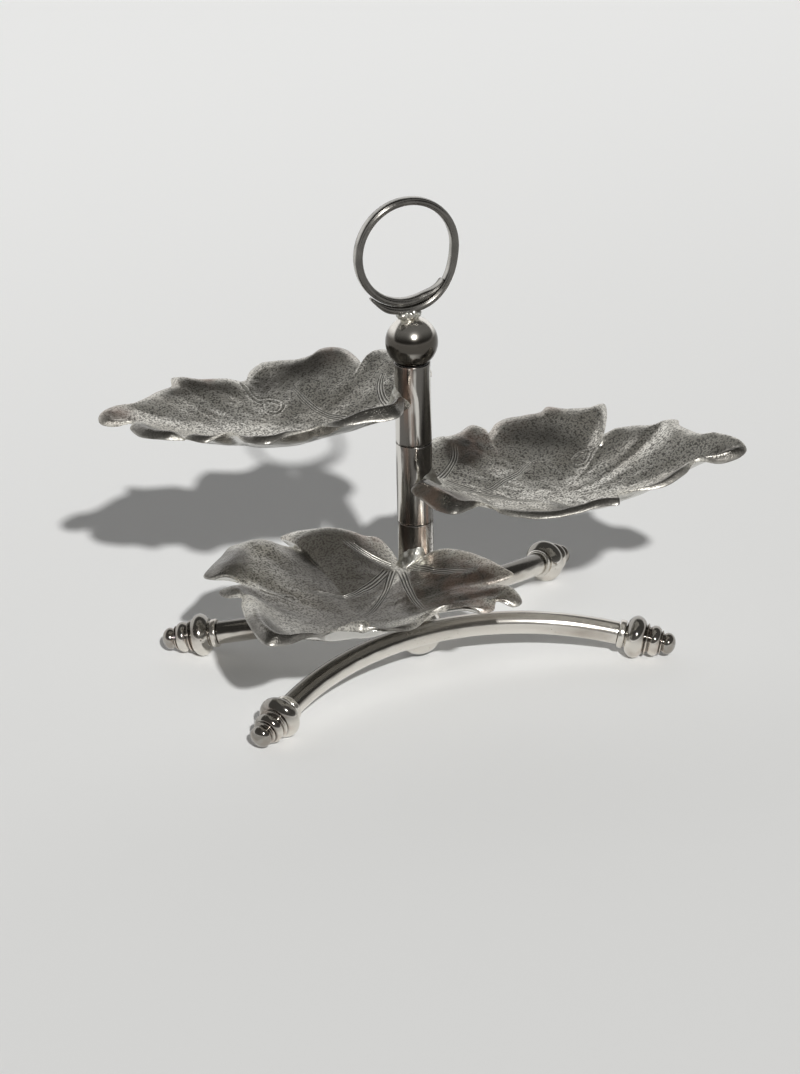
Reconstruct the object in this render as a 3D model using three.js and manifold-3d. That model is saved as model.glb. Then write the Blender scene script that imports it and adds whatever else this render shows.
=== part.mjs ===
// Three-section serving tray: three cast vine-leaf dishes on sleeves that turn round one upright
// post, with a ring handle on top and two bowed tubes with turned finials for feet.
// Millimetres, +Z up, +X along the longer side of the foot rectangle.
import * as THREE from 'three';
import { mergeVertices } from 'three/addons/utils/BufferGeometryUtils.js';
import { ParametricGeometry } from 'three/addons/geometries/ParametricGeometry.js';
import Module from 'manifold-3d';

const wasm = await Module();
wasm.setup();

// Driving dimensions
const gap = 0.3;
const turningGap = 0.3;

// Feet: two bowed tubes that rest on the bead of a turned finial at each end
const footHalfLength = 107.7;
const footHalfWidth = 56.5;
const beadRadius = 12.0;
const restFlatDepth = 0.6;
const tubeRadius = 6.4;
const tubeWall = 1.1;
const tubeBesideHub = 0.4;
const tubeAboveHub = 7.7;
const tubeEndStraight = 2;
const collarLength = 3.6;
const collarLip = 1.6;
const beadLength = 10.2;
const spigotLength = 5;

// Upright post
const hubRadius = 14.3;
const hubStandOff = 1.3;
const rodRadius = 3.1;
const neckRise = 6.7;
const sleevePitch = 46.6;
const sleeveRadius = 9.9;
const sleeveWall = 1.4;
const topBallRadius = 14.3;
const ballSeatInset = 1.1;
const nutAcrossFlats = 10;
const nutHeight = 4;

// Ring handle: a bar of one and a quarter turns whose first stretch laps outside its last
const ringInnerRadius = 26.0;
const ringBarHeight = 4.4;
const ringBarWidth = 6.2;
const ringLap = 4.7;
const ringLift = 2.4;
const ringOffset = -2;
const ringStart = -133;
const ringEnd = 318;

// Leaf dishes
const leafThickness = 2.4;
const rimThickness = 1.3;
const leafCentre = 72;
const bowlPower = 1.7;
const solderReach = 0.88;
const solderHeight = 6.5;
const solderLift = 0.6;

// Leaf outlines seen from above, from one side of the sleeve round by the tip, which lies
// towards +X, to the sleeve's other side. Each entry: x, y, rise of the rolled crest and height
// of the edge, all measured from the sleeve's axis and mid height.
const leafOutlines = {
  upper: [
    [-8, -19, 0.5, 4], [-12, -33, 1, 5], [-6, -48, 1.5, 6], [12.5, -66, 2, 6],
    [20, -62, 1.5, 5.5], [25, -53, 0.3, 2.5], [28.5, -63.5, 1.5, 3.5], [36, -74, 2.5, 4.5],
    [46.5, -77, 2.5, 3.5], [56, -69.5, 2, 2], [71.5, -73.5, 2, -1], [81.5, -78.5, 2, -4],
    [88.5, -70.5, 1, -6], [92, -53.5, 0, -6], [102.5, -57.5, 1.5, -4.5], [119, -54.5, 2, -3],
    [131.5, -54.5, 1.5, -1.5], [132.5, -47.5, 1.5, -3.5], [139.5, -42, 2, -4], [151.5, -22, 2, -4],
    [163.5, -16, 2, -3], [170.5, -5.5, 2, -3], [169.5, 2.5, 2, -5], [160.5, 5, 2, -5],
    [152, 6, 0.5, -3], [153.5, 12.5, 1.5, -4], [147.5, 24.5, 2, -5], [134, 32, 2, -5],
    [125, 31.5, 1, -4], [122.5, 34, 1.5, -4], [112.5, 39.5, 2, -4], [99.5, 33.5, 0.5, -1],
    [91, 46, 2, -2], [80, 52.5, 2.5, -1], [70, 46.5, 2, 1], [55, 39.5, 1, 3],
    [51, 37.5, 0.5, 4], [39.5, 44, 2, 5], [27, 44.5, 2.5, 7], [15, 44, 2.5, 8],
    [7.5, 38, 2, 9], [5, 17, 1, 9],
  ],
  middle: [
    [-6, -18, 0.5, 3], [-6, -26, 1, 5], [2, -47, 1.5, 6.5], [8, -49, 2, 7],
    [14.5, -56, 2.5, 7.5], [19.5, -63.5, 2, 9], [27.5, -62, 1, 8], [30.5, -58, 0, 6],
    [33, -68.5, 1.5, 8.5], [38.5, -74.5, 2.5, 9.5], [48, -78.5, 2.5, 10.5], [56.5, -82.5, 2.5, 11.5],
    [61, -84.5, 2, 14], [74.5, -84, 2, 14], [85, -83, 1.5, 15.5], [92, -88, 1.5, 16.5],
    [95, -79, 1, 14], [96.5, -61.5, 0.5, 11.5], [97.5, -53, 0, 12], [103.5, -60.5, 1.5, 13.5],
    [112.5, -61, 2, 15], [126.5, -57.5, 2, 18], [137, -60, 1.5, 20.5], [140.5, -49.5, 1, 21],
    [156, -34.5, 2, 22], [166, -32.5, 2.5, 23.5], [175.5, -24.5, 2, 25], [180, -19.5, 2, 22],
    [177, -13, 2, 21], [167, -7.5, 2, 20], [156.5, -5.5, 1, 20], [153, -2.5, 0.5, 20],
    [150, 5.5, 2, 18], [141, 15, 2, 15], [129.5, 20, 1, 13], [116, 22.5, 0.3, 11],
    [118, 33.5, 1.5, 9], [106.5, 35, 2.5, 8], [98, 37.5, 2.5, 6], [89, 41.5, 2, 4],
    [77, 44.5, 1.5, 3], [66, 44.5, 2, 3], [55, 41.5, 1.5, 3], [45.5, 30.5, 0.3, 3],
    [39, 43.5, 2, 6], [32.5, 52.5, 2.5, 7], [22.5, 49, 2.5, 8], [10.5, 37.5, 2, 8],
    [4, 29, 1.5, 8], [6, 14, 1, 6],
  ],
  lower: [
    [-2.5, -18, 0.5, 2], [-4, -25.5, 1.5, 5.5], [-1.5, -33, 2, 8], [1.5, -42, 2.5, 10.5],
    [6, -53.5, 2.5, 11.5], [12, -64, 2, 11], [16.5, -71.5, 1.5, 9.5], [20, -74.5, 1, 8],
    [21, -70.5, 0.5, 5.5], [24.5, -65, 0, 5], [31, -74, 1.5, 8.5], [39, -81, 2, 13],
    [45.5, -85.5, 2.5, 13.5], [52.5, -88.5, 2, 13], [63.5, -89, 2, 13], [75.5, -89.5, 2, 12],
    [82.5, -88.5, 1.5, 10], [85, -81.5, 1.5, 9], [81.5, -71, 1, 9], [86.5, -58.5, 0.3, 9],
    [95.5, -63.5, 1, 12], [103.5, -67, 1, 13], [107, -61, 1, 12], [107, -51.5, 1.5, 13],
    [118, -45, 1.5, 13], [134, -33, 2, 13], [147, -19.5, 2, 12], [150.5, -11, 2, 11],
    [144, -5, 2.5, 10], [132, -0.5, 2.5, 9], [120, 6, 2, 8], [106, 11.5, 1, 8],
    [96, 16.5, 0.3, 8], [96, 21.5, 1.5, 5], [94, 28, 2, 3], [88, 35.5, 2, 2],
    [78.5, 39.5, 1, 1], [67, 39.5, 0.5, 0], [56.5, 44.5, 2, 1], [52, 54, 2.5, 2],
    [52.5, 64.5, 2, 2], [46.5, 68, 1, 3], [37, 66, 0.5, 4], [37, 76.5, 1.5, 3],
    [31.5, 77, 1.5, 4], [20.5, 68.5, 1, 6], [10, 62, 1.5, 8], [1.5, 51, 2, 7],
    [-2, 39, 2, 7], [-2.5, 28, 2, 7.5], [-0.5, 17, 1, 6.5],
  ],
};

// One row per tier, top one first: direction of the leaf's tip, mirrored casting, bowl floor,
// height of the edge against the sleeve
const tiers = [
  { name: 'upper', turn: 158, mirror: 1, floor: -15, seat: 3, level: 2 },
  { name: 'middle', turn: -36, mirror: -1, floor: -7, seat: 1, level: 1 },
  { name: 'lower', turn: 219, mirror: 1, floor: -5, seat: -2, level: 0 },
];

const silver = { color: 0xc9c6c0, roughness: 0.22, metalness: 1.0 };
const tarnished = { color: 0x8d857c, roughness: 0.36, metalness: 1.0 };
const pewter = { color: 0x77726b, roughness: 0.55, metalness: 1.0 };
const steel = { color: 0x9a9a98, roughness: 0.4, metalness: 1.0 };

const tray = new THREE.Group();
const assembly = new THREE.Group();
tray.add(assembly);

function addPiece(name, geometry, look, parent = assembly) {
  const mesh = new THREE.Mesh(geometry, new THREE.MeshStandardMaterial(look));
  mesh.name = name;
  parent.add(mesh);
  return mesh;
}

// Shared vertices only, without the triangles that close up at a pole
function weld(geometry) {
  const bare = geometry.clone();
  bare.deleteAttribute('normal');
  bare.deleteAttribute('uv');
  const merged = mergeVertices(bare, 1e-4);
  const old = merged.getIndex().array;
  const kept = [];
  for (let i = 0; i < old.length; i += 3) {
    const [a, b, c] = [old[i], old[i + 1], old[i + 2]];
    if (a !== b && b !== c && c !== a) {
      kept.push(a, b, c);
    }
  }
  merged.setIndex(kept);
  return merged;
}

function toSolid(geometry) {
  const merged = weld(geometry);
  return new wasm.Manifold(new wasm.Mesh({
    numProp: 3,
    vertProperties: new Float32Array(merged.getAttribute('position').array),
    triVerts: new Uint32Array(merged.getIndex().array),
  }));
}

function toGeometry(solid) {
  const mesh = solid.getMesh();
  const geometry = new THREE.BufferGeometry();
  geometry.setAttribute('position', new THREE.BufferAttribute(mesh.vertProperties, 3));
  geometry.setIndex(new THREE.BufferAttribute(mesh.triVerts, 1));
  geometry.computeVertexNormals();
  return geometry;
}

// Turned shape from radius and height pairs, standing on the Z axis
function turned(points, sides) {
  const profile = points.map(([radius, height]) => new THREE.Vector2(radius, height));
  return new THREE.LatheGeometry(profile, sides).rotateX(Math.PI / 2);
}

function closedTurned(points, sides) {
  return turned([...points, points[0]], sides);
}

// Points of a ball's outline between two heights, measured from the ball's centre
function ballArc(radius, centre, fromRadius, toRadius, steps) {
  const start = -Math.acos(fromRadius / radius);
  const end = Math.acos(toRadius / radius);
  const points = [];
  for (let i = 0; i <= steps; i += 1) {
    const angle = start + ((end - start) * i) / steps;
    points.push([radius * Math.cos(angle), centre + radius * Math.sin(angle)]);
  }
  return points;
}

// Heights and distances that follow from the hub ball
const hubCentreHeight = hubRadius + hubStandOff;
const tubeMidOffset = hubRadius + tubeRadius + tubeBesideHub;
const tubeMidHeight = hubCentreHeight + tubeAboveHub;
const sleeveBottom = hubCentreHeight + hubRadius + neckRise;

// Bowed tube: straight, bend, straight, in the slanted plane through both beads and the crown
const beadHeight = beadRadius - restFlatDepth;
const crown = new THREE.Vector3(0, -tubeMidOffset, tubeMidHeight);
const chordMiddle = new THREE.Vector3(0, -footHalfWidth, beadHeight);
const rise = crown.clone().sub(chordMiddle);
const sagitta = rise.length();
const up = rise.clone().normalize();
const along = new THREE.Vector3(1, 0, 0);
const beadToTube = gap + collarLength + gap + 0.6 + beadLength / 2;
const straightLength = beadToTube + tubeEndStraight;
const bend = 2 * Math.atan(sagitta / (footHalfLength + straightLength));
const bendSin = Math.sin(bend);
const bendCos = Math.cos(bend);
const bendRadius = (footHalfLength - straightLength * bendCos) / bendSin;
const footDirection = along.clone().multiplyScalar(bendCos).addScaledVector(up, -bendSin);

class BowedLine extends THREE.Curve {
  getPoint(t, target = new THREE.Vector3()) {
    const arc = bendRadius * bend;
    const s = (2 * t - 1) * (arc + tubeEndStraight);
    const side = Math.sign(s);
    const angle = Math.min(Math.abs(s), arc) / bendRadius;
    const rest = Math.max(Math.abs(s) - arc, 0);
    const outward = bendRadius * Math.sin(angle) + rest * Math.cos(angle);
    const drop = bendRadius * (1 - Math.cos(angle)) + rest * Math.sin(angle);
    return target.copy(crown).addScaledVector(along, side * outward).addScaledVector(up, -drop);
  }
}

const tubeSection = new THREE.Shape();
tubeSection.absarc(0, 0, tubeRadius, 0, 2 * Math.PI);
const tubeBore = new THREE.Path();
tubeBore.absarc(0, 0, tubeRadius - tubeWall, 0, 2 * Math.PI, true);
tubeSection.holes.push(tubeBore);
const tubeGeometry = new THREE.ExtrudeGeometry(tubeSection, {
  steps: 18,
  curveSegments: 8,
  extrudePath: new BowedLine(),
});

// Turned finial on its own axis: the bead's centre is the origin and +Z points outwards
const half = beadLength / 2;
const spigotRadius = tubeRadius - tubeWall - gap;
const tubeFace = -(half + 0.6 + gap + collarLength + gap);
const finialProfile = [
  [0, tubeFace - spigotLength],
  [spigotRadius, tubeFace - spigotLength],
  [spigotRadius, -half - 0.6],
  [7.0, -half - 0.6],
  [7.0, -half],
  [9.4, -half + 0.5],
  [11.2, -half + 1.9],
  [beadRadius, 0],
  [11.2, half - 1.9],
  [9.4, half - 0.5],
  [8.5, half],
  [8.5, half + 2.0],
  [7.2, half + 2.1],
  [8.2, half + 3.6],
  [8.6, half + 5.4],
  [8.2, half + 7.2],
  [7.0, half + 8.8],
  [6.1, half + 9.3],
  [6.0, half + 10.8],
  [5.9, half + 13.9],
  [4.6, half + 15.8],
  [2.2, half + 17.2],
  [0, half + 17.6],
];
const collarRadius = tubeRadius + collarLip;
const collarProfile = [
  [spigotRadius + gap, 0],
  [collarRadius - 0.5, 0],
  [collarRadius, 0.5],
  [collarRadius, collarLength - 0.5],
  [collarRadius - 0.5, collarLength],
  [spigotRadius + gap, collarLength],
];
const floorBlock = toSolid(new THREE.BoxGeometry(600, 600, 40).translate(0, 0, -20));

// Half the base: one tube with its two collars and finials, turned about the post for the other
function addFootSide(sideName, turn, endNames) {
  const side = new THREE.Group();
  side.rotation.z = turn;
  assembly.add(side);
  addPiece(`${sideName}_leg_tube`, tubeGeometry.clone(), silver, side);
  [-1, 1].forEach((end, index) => {
    const direction = footDirection.clone();
    direction.x *= end;
    const place = new THREE.Vector3(end * footHalfLength, -footHalfWidth, beadHeight);
    const turnTo = new THREE.Quaternion().setFromUnitVectors(new THREE.Vector3(0, 0, 1), direction);
    const matrix = new THREE.Matrix4().compose(place, turnTo, new THREE.Vector3(1, 1, 1));
    const finial = turned(finialProfile, 16).applyMatrix4(matrix);
    const cut = toGeometry(toSolid(finial).subtract(floorBlock));
    addPiece(`${endNames[index]}_finial`, cut, silver, side);
    const collar = closedTurned(collarProfile, 16).translate(0, 0, tubeFace + gap);
    addPiece(`${endNames[index]}_collar`, collar.applyMatrix4(matrix), tarnished, side);
  });
}
addFootSide('front', 0, ['front_left', 'front_right']);
addFootSide('rear', Math.PI, ['rear_right', 'rear_left']);

// Hub ball between the tubes, bored for the tie rod and recessed below for its nut
const rodBore = rodRadius + gap;
const nutCorner = nutAcrossFlats / Math.sqrt(3);
const recessRadius = nutCorner + 0.8;
const recessTop = 7.6;
const hubTopRadius = 8.4;
const hubTop = hubCentreHeight + Math.sqrt(hubRadius ** 2 - hubTopRadius ** 2);
addPiece('hub_ball', closedTurned([
  [rodBore, recessTop],
  [recessRadius, recessTop],
  ...ballArc(hubRadius, hubCentreHeight, recessRadius, hubTopRadius, 10),
  [rodBore, hubTop],
], 24), silver);

// Solder saddles that join each tube to the hub's flank
const hubCentre = new THREE.Vector3(0, 0, hubCentreHeight);
const toTube = crown.clone().sub(hubCentre);
const saddleTurn = new THREE.Quaternion().setFromUnitVectors(
  new THREE.Vector3(0, 0, 1),
  toTube.clone().normalize(),
);
const saddleBlank = new THREE.CylinderGeometry(5.2, 6.4, 9, 16).rotateX(Math.PI / 2)
  .translate(0, 0, hubRadius + 0.6)
  .applyQuaternion(saddleTurn)
  .translate(0, 0, hubCentreHeight);
const hubClearance = new THREE.SphereGeometry(hubRadius + gap, 28, 18)
  .translate(0, 0, hubCentreHeight);
const tubeClearance = new THREE.CylinderGeometry(tubeRadius + gap, tubeRadius + gap, 60, 24)
  .rotateZ(Math.PI / 2)
  .translate(0, crown.y, crown.z);
const saddle = toGeometry(
  toSolid(saddleBlank).subtract(toSolid(hubClearance)).subtract(toSolid(tubeClearance)),
);
addPiece('front_solder_saddle', saddle, silver);
addPiece('rear_solder_saddle', saddle.clone().rotateZ(Math.PI), silver);

// Neck that carries the sleeves
const neckTop = sleeveBottom - gap;
addPiece('hub_neck', closedTurned([
  [rodBore, hubTop + gap],
  [8.2, hubTop + gap],
  [7.4, hubTop + 1.8],
  [7.4, neckTop - 4.6],
  [sleeveRadius, neckTop - 3.2],
  [sleeveRadius, neckTop],
  [rodBore, neckTop],
], 28), silver);

// Spindle tube that the sleeves turn on, clamped between neck and top ball by the tie rod
const postTop = sleeveBottom + 3 * sleevePitch;
const spindleRadius = sleeveRadius - sleeveWall - turningGap;
addPiece('spindle_tube', closedTurned([
  [spindleRadius - 2.2, neckTop + gap],
  [spindleRadius, neckTop + gap],
  [spindleRadius, postTop],
  [spindleRadius - 2.2, postTop],
], 24), steel);

// Top ball, blind-bored from below
const ballSeatRadius = sleeveRadius - ballSeatInset;
const ballSeat = postTop + gap;
const topBallCentre = ballSeat + Math.sqrt(topBallRadius ** 2 - ballSeatRadius ** 2);
const ballTop = topBallCentre + topBallRadius;
const rodTop = ballSeat + 13;
addPiece('top_ball', turned([
  [0, rodTop + 1],
  [rodBore, rodTop + 1],
  [rodBore, ballSeat],
  [ballSeatRadius, ballSeat],
  ...ballArc(topBallRadius, topBallCentre, ballSeatRadius, 2.4, 11).slice(1),
  [0, ballTop],
], 24), silver);

addPiece('tie_rod', new THREE.CylinderGeometry(rodRadius, rodRadius, rodTop - 3, 16)
  .rotateX(Math.PI / 2)
  .translate(0, 0, (rodTop + 3) / 2), steel);

// Hexagon nut inside the hub's recess
const nutShape = new THREE.Shape();
for (let i = 0; i < 6; i += 1) {
  const angle = (i * Math.PI) / 3;
  const corner = [nutCorner * Math.cos(angle), nutCorner * Math.sin(angle)];
  if (i === 0) {
    nutShape.moveTo(...corner);
  } else {
    nutShape.lineTo(...corner);
  }
}
nutShape.closePath();
const nutBore = new THREE.Path();
nutBore.absarc(0, 0, rodBore, 0, 2 * Math.PI, true);
nutShape.holes.push(nutBore);
const nutBottom = recessTop - gap - nutHeight;
addPiece('tie_nut', new THREE.ExtrudeGeometry(nutShape, {
  depth: nutHeight,
  bevelEnabled: false,
  curveSegments: 8,
}).translate(0, 0, nutBottom), steel);

// Ring handle in the XZ plane: the bar starts as a tapered lap under the ring's last stretch,
// which thins away where the lap comes in to meet it
const ringCentre = ballTop + ringLift + ringInnerRadius + ringLap + ringBarHeight;
function lapAt(degrees) {
  return ringLap * (1 - THREE.MathUtils.smoothstep(degrees, -75, -5));
}
function barHeightAt(degrees) {
  const taper = 0.4 + 0.6 * THREE.MathUtils.smoothstep(degrees, ringStart, ringStart + 25);
  const room = degrees > 0 ? lapAt(degrees - 360) - gap : ringBarHeight;
  const closing = degrees > 180 ? room : ringBarHeight;
  return Math.min(taper * ringBarHeight, closing);
}
function ringBar(clearance) {
  const bars = 56;
  return weld(new ParametricGeometry((u, v, target) => {
    const level = Math.round(v * (bars + 2));
    const step = THREE.MathUtils.clamp(level - 1, 0, bars) / bars;
    const degrees = ringStart + (ringEnd - ringStart) * step;
    const open = level > 0 && level < bars + 2 ? 1 : 0;
    const around = 2 * Math.PI * u;
    const barHeight = barHeightAt(degrees);
    const middle = ringInnerRadius + lapAt(degrees) + barHeight / 2;
    const radius = middle + open * (barHeight / 2 + clearance) * Math.cos(around);
    const angle = THREE.MathUtils.degToRad(degrees);
    target.set(
      ringOffset + radius * Math.cos(angle),
      open * (ringBarWidth / 2 + clearance) * Math.sin(around),
      ringCentre + radius * Math.sin(angle),
    );
  }, 12, bars + 2));
}
addPiece('ring_handle', ringBar(0), tarnished);

// Solder seat between the ring and the ball
const seatBlank = new THREE.SphereGeometry(1, 24, 14).scale(7.4, 4.4, 4.2)
  .translate(ringOffset * 0.6, 0, ballTop + ringLift - 0.4);
const ballClearance = new THREE.SphereGeometry(topBallRadius + gap, 32, 20)
  .translate(0, 0, topBallCentre);
const seat = toSolid(seatBlank).subtract(toSolid(ballClearance)).subtract(toSolid(ringBar(gap)));
const seatParts = seat.decompose().sort((a, b) => b.volume() - a.volume());
addPiece('ring_seat', toGeometry(seatParts[0]), silver);

const seatRadius = sleeveRadius + 0.9;

// Leaf surface: rays run from the bowl's centre out to the outline, and the floor rises along
// each ray by a power law to the edge, with a rolled crest just inside it
function wrap(index, count) {
  return ((index % count) + count) % count;
}

function spline(rows, column, position) {
  const count = rows.length;
  const base = Math.floor(position);
  const t = position - base;
  const [a, b, c, d] = [-1, 0, 1, 2].map((k) => rows[wrap(base + k, count)][column]);
  const bendA = c - a;
  const bendB = 2 * a - 5 * b + 4 * c - d;
  const bendC = 3 * (b - c) + d - a;
  return b + 0.5 * t * (bendA + t * (bendB + t * bendC));
}

// Direction in which each ray leaves the centre, smoothed so that rays never cross
function rayOffsets(rows) {
  const count = rows.length;
  let angles = rows.map(([x, y]) => Math.atan2(y, x - leafCentre));
  for (let i = 1; i < count; i += 1) {
    while (angles[i] < angles[i - 1] - Math.PI) {
      angles[i] += 2 * Math.PI;
    }
  }
  const step = (2 * Math.PI) / count;
  let offsets = angles.map((angle, i) => angle - i * step);
  for (let pass = 0; pass < 3; pass += 1) {
    const last = offsets;
    offsets = last.map((value, i) => {
      const sum = [-2, -1, 1, 2].reduce((total, k) => total + last[wrap(i + k, count)], value);
      return sum / 5;
    });
  }
  return offsets.map((offset, i) => [offset, i * step]);
}

function outlineRows(tier) {
  const onSleeve = (degrees) => {
    const angle = THREE.MathUtils.degToRad(degrees);
    return [seatRadius * Math.cos(angle), seatRadius * Math.sin(angle), 0, tier.seat];
  };
  return [onSleeve(-80), ...leafOutlines[tier.name], ...[80, 45, 0, -45].map(onSleeve)];
}

function leafSurface(tier) {
  const rows = outlineRows(tier);
  const rays = rayOffsets(rows);
  return (around, outward) => {
    const position = wrap(around, 1) * rows.length;
    const x = spline(rows, 0, position);
    const y = spline(rows, 1, position);
    const crest = spline(rows, 2, position);
    const edge = spline(rows, 3, position);
    const angle = spline(rays, 0, position) + (position * 2 * Math.PI) / rows.length;
    const middleX = leafCentre + 54 * Math.cos(angle);
    const middleY = 33 * Math.sin(angle);
    const inward = 1 - outward;
    const px = inward ** 2 * leafCentre + 2 * outward * inward * middleX + outward ** 2 * x;
    const py = 2 * outward * inward * middleY + outward ** 2 * y;
    const roll = Math.sin(Math.PI * Math.max(0, (outward - 0.76) / 0.24));
    const height = tier.floor + (edge - tier.floor) * outward ** bowlPower + crest * roll;
    return new THREE.Vector3(px, py * tier.mirror, height);
  };
}

const rings = [0, 0.25, 0.5, 0.74, solderReach, 1];
function leafGeometry(tier) {
  const surface = leafSurface(tier);
  const leafSides = 2 * outlineRows(tier).length;
  const levels = 2 * rings.length - 1;
  const shell = new ParametricGeometry((u, v, target) => {
    const level = Math.round(v * levels);
    const top = level < rings.length;
    const outward = rings[top ? level : levels - level];
    const around = (Math.round((1 - u) * leafSides) % leafSides) / leafSides;
    target.copy(surface(tier.mirror > 0 ? around : 1 - around, outward));
    target.z -= top ? 0 : leafThickness + (rimThickness - leafThickness) * outward ** 2;
  }, leafSides, levels);
  return weld(shell);
}

// Solder fillet in the corner between sleeve and leaf, tapering to a point on the leaf
function filletGeometry(tier) {
  const surface = leafSurface(tier);
  const count = outlineRows(tier).length;
  const from = (count - 3.5) / count;
  const to = (count - 0.5) / count;
  const slices = 6;
  const levels = 7;
  const section = (loop, reach) => {
    const top = loop <= slices;
    const across = (top ? loop : 2 * slices - loop) / slices;
    const squeeze = 0.5 + (across - 0.5) * (1 - 0.9 * reach);
    const around = from + (to - from) * (tier.mirror > 0 ? squeeze : 1 - squeeze);
    const place = surface(around, 1).lerp(surface(around, solderReach), reach);
    const hump = (1 - (2 * across - 1) ** 2) * (1 - reach) ** 1.6;
    place.z += solderLift + (top ? 0.5 + solderHeight * hump : 0);
    return place;
  };
  return weld(new ParametricGeometry((u, v, target) => {
    const level = Math.round(v * (levels + 2));
    const reach = THREE.MathUtils.clamp((level - 1) / levels, 0, 1);
    const loop = Math.round(u * 2 * slices) % (2 * slices);
    target.copy(section(loop, reach));
    if (level === 0 || level === levels + 2) {
      target.add(section((2 * slices - loop) % (2 * slices), reach)).divideScalar(2);
    }
  }, 2 * slices, levels + 2));
}

// Three tiers, each a sleeve with its leaf soldered on
tiers.forEach((tier) => {
  const group = new THREE.Group();
  group.rotation.z = THREE.MathUtils.degToRad(tier.turn);
  group.position.z = sleeveBottom + (tier.level + 0.5) * sleevePitch;
  assembly.add(group);
  const sleeveHalf = (sleevePitch - gap) / 2;
  addPiece(`${tier.name}_sleeve`, closedTurned([
    [sleeveRadius - sleeveWall, -sleeveHalf],
    [sleeveRadius, -sleeveHalf],
    [sleeveRadius, sleeveHalf],
    [sleeveRadius - sleeveWall, sleeveHalf],
  ], 24), silver, group);
  addPiece(`${tier.name}_leaf_dish`, leafGeometry(tier), pewter, group);
  addPiece(`${tier.name}_solder_fillet`, filletGeometry(tier), silver, group);
});

// The frame's origin is on the surface the tray stands on, under the middle of the whole tray
const extent = new THREE.Box3().setFromObject(assembly, true);
const middle = extent.getCenter(new THREE.Vector3());
assembly.position.set(-middle.x, -middle.y, 0);

export default tray;
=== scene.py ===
import math

import bpy
import numpy as np
from mathutils import Matrix, Vector


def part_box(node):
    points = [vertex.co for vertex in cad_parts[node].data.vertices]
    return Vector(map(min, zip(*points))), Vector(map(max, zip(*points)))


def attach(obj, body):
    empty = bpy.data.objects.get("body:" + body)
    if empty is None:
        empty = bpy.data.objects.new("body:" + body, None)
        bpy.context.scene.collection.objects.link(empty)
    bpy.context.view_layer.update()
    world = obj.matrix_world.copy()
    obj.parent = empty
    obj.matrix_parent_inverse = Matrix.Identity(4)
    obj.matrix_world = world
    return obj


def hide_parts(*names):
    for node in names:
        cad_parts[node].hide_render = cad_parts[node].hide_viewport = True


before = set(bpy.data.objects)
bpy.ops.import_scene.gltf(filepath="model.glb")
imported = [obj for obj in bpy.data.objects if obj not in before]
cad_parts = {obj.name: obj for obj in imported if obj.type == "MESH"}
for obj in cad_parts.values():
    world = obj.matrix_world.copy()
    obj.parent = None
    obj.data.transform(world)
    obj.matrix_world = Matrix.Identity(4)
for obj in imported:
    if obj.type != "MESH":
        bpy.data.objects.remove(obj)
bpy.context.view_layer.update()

# ---- Leg tubes ----------------------------------------------------------------------------
# Two drawn brass tubes, silver plated, bowed up and in towards the post and worn by hand. Their plate is
# bright below and painted dark along the top, a painted dark reflection that fades out towards the front
# tube's right end, with brown clouds and fine scratches along the bow.

FOOT_HALF_LENGTH, FOOT_HALF_WIDTH = 107.7, 56.5
BEAD_HEIGHT = 11.4
TUBE_RADIUS, TUBE_WALL = 6.4, 1.1
TUBE_MIDDLE = np.array([0.0, -21.1, 23.3])
TUBE_END_STRAIGHT = 2.0
BEAD_HALF = 5.1
BEAD_TO_TUBE = BEAD_HALF + 4.8

post = np.array(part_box("tie_rod")).mean(axis=0) * [1, 1, 0]


def skin(name, grid, closed=False, marks=None):
    """Skins grid[level, side] (millimetres from the foot of the post) with quads. The sides run
    round a closed loop. The levels run round a loop too if closed, or else each end ring is drawn
    together in one point, its mean. Each mark is one number a vertex, kept as an attribute."""
    levels, sides = grid.shape[:2]
    points = grid.reshape(-1, 3)
    index = np.arange(levels * sides).reshape(levels, sides)
    rows = np.vstack([index, index[:1]]) if closed else index
    low, high = rows[:-1], rows[1:]
    quads = np.stack([low, np.roll(low, -1, 1), np.roll(high, -1, 1), high], -1).reshape(-1, 4)
    tips = np.empty((0, 3), int)
    if not closed:
        points = np.vstack([points, grid[0].mean(0), grid[-1].mean(0)])
        foot, head = np.full(sides, len(points) - 2), np.full(sides, len(points) - 1)
        start = np.stack([np.roll(rows[0], -1), rows[0]])
        stop = np.stack([rows[-1], np.roll(rows[-1], -1)])
        tips = np.vstack([np.column_stack([foot, *start]), np.column_stack([head, *stop])])
    corners = points[np.vstack([quads[:, [0, 1, 2]], quads[:, [0, 2, 3]], tips])]
    if np.einsum("ij,ij->", corners[:, 0], np.cross(corners[:, 1], corners[:, 2])) < 0:
        quads, tips = quads[:, ::-1], tips[:, ::-1]
    loops = np.concatenate([quads.ravel(), tips.ravel()])
    starts = np.concatenate([np.arange(len(quads)) * 4, quads.size + np.arange(len(tips)) * 3])
    mesh = bpy.data.meshes.new(name)
    mesh.vertices.add(len(points))
    mesh.loops.add(len(loops))
    mesh.polygons.add(len(starts))
    mesh.vertices.foreach_set("co", (points * 0.001 + post).ravel())
    mesh.polygons.foreach_set("loop_start", starts)
    mesh.loops.foreach_set("vertex_index", loops)
    mesh.polygons.foreach_set("use_smooth", np.ones(len(starts), bool))
    for mark, values in (marks or {}).items():
        flat = np.broadcast_to(values, (levels, sides)).ravel()
        if not closed:
            flat = np.append(flat, [values_end(values, 0), values_end(values, -1)])
        mesh.attributes.new(mark, "FLOAT", "POINT").data.foreach_set("value", flat)
    mesh.update()
    mesh.validate()
    piece = bpy.data.objects.new(name, mesh)
    bpy.context.scene.collection.objects.link(piece)
    return piece


def values_end(values, end):
    """Mean of a mark over its first or last ring."""
    return float(np.mean(values[end]))


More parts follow.
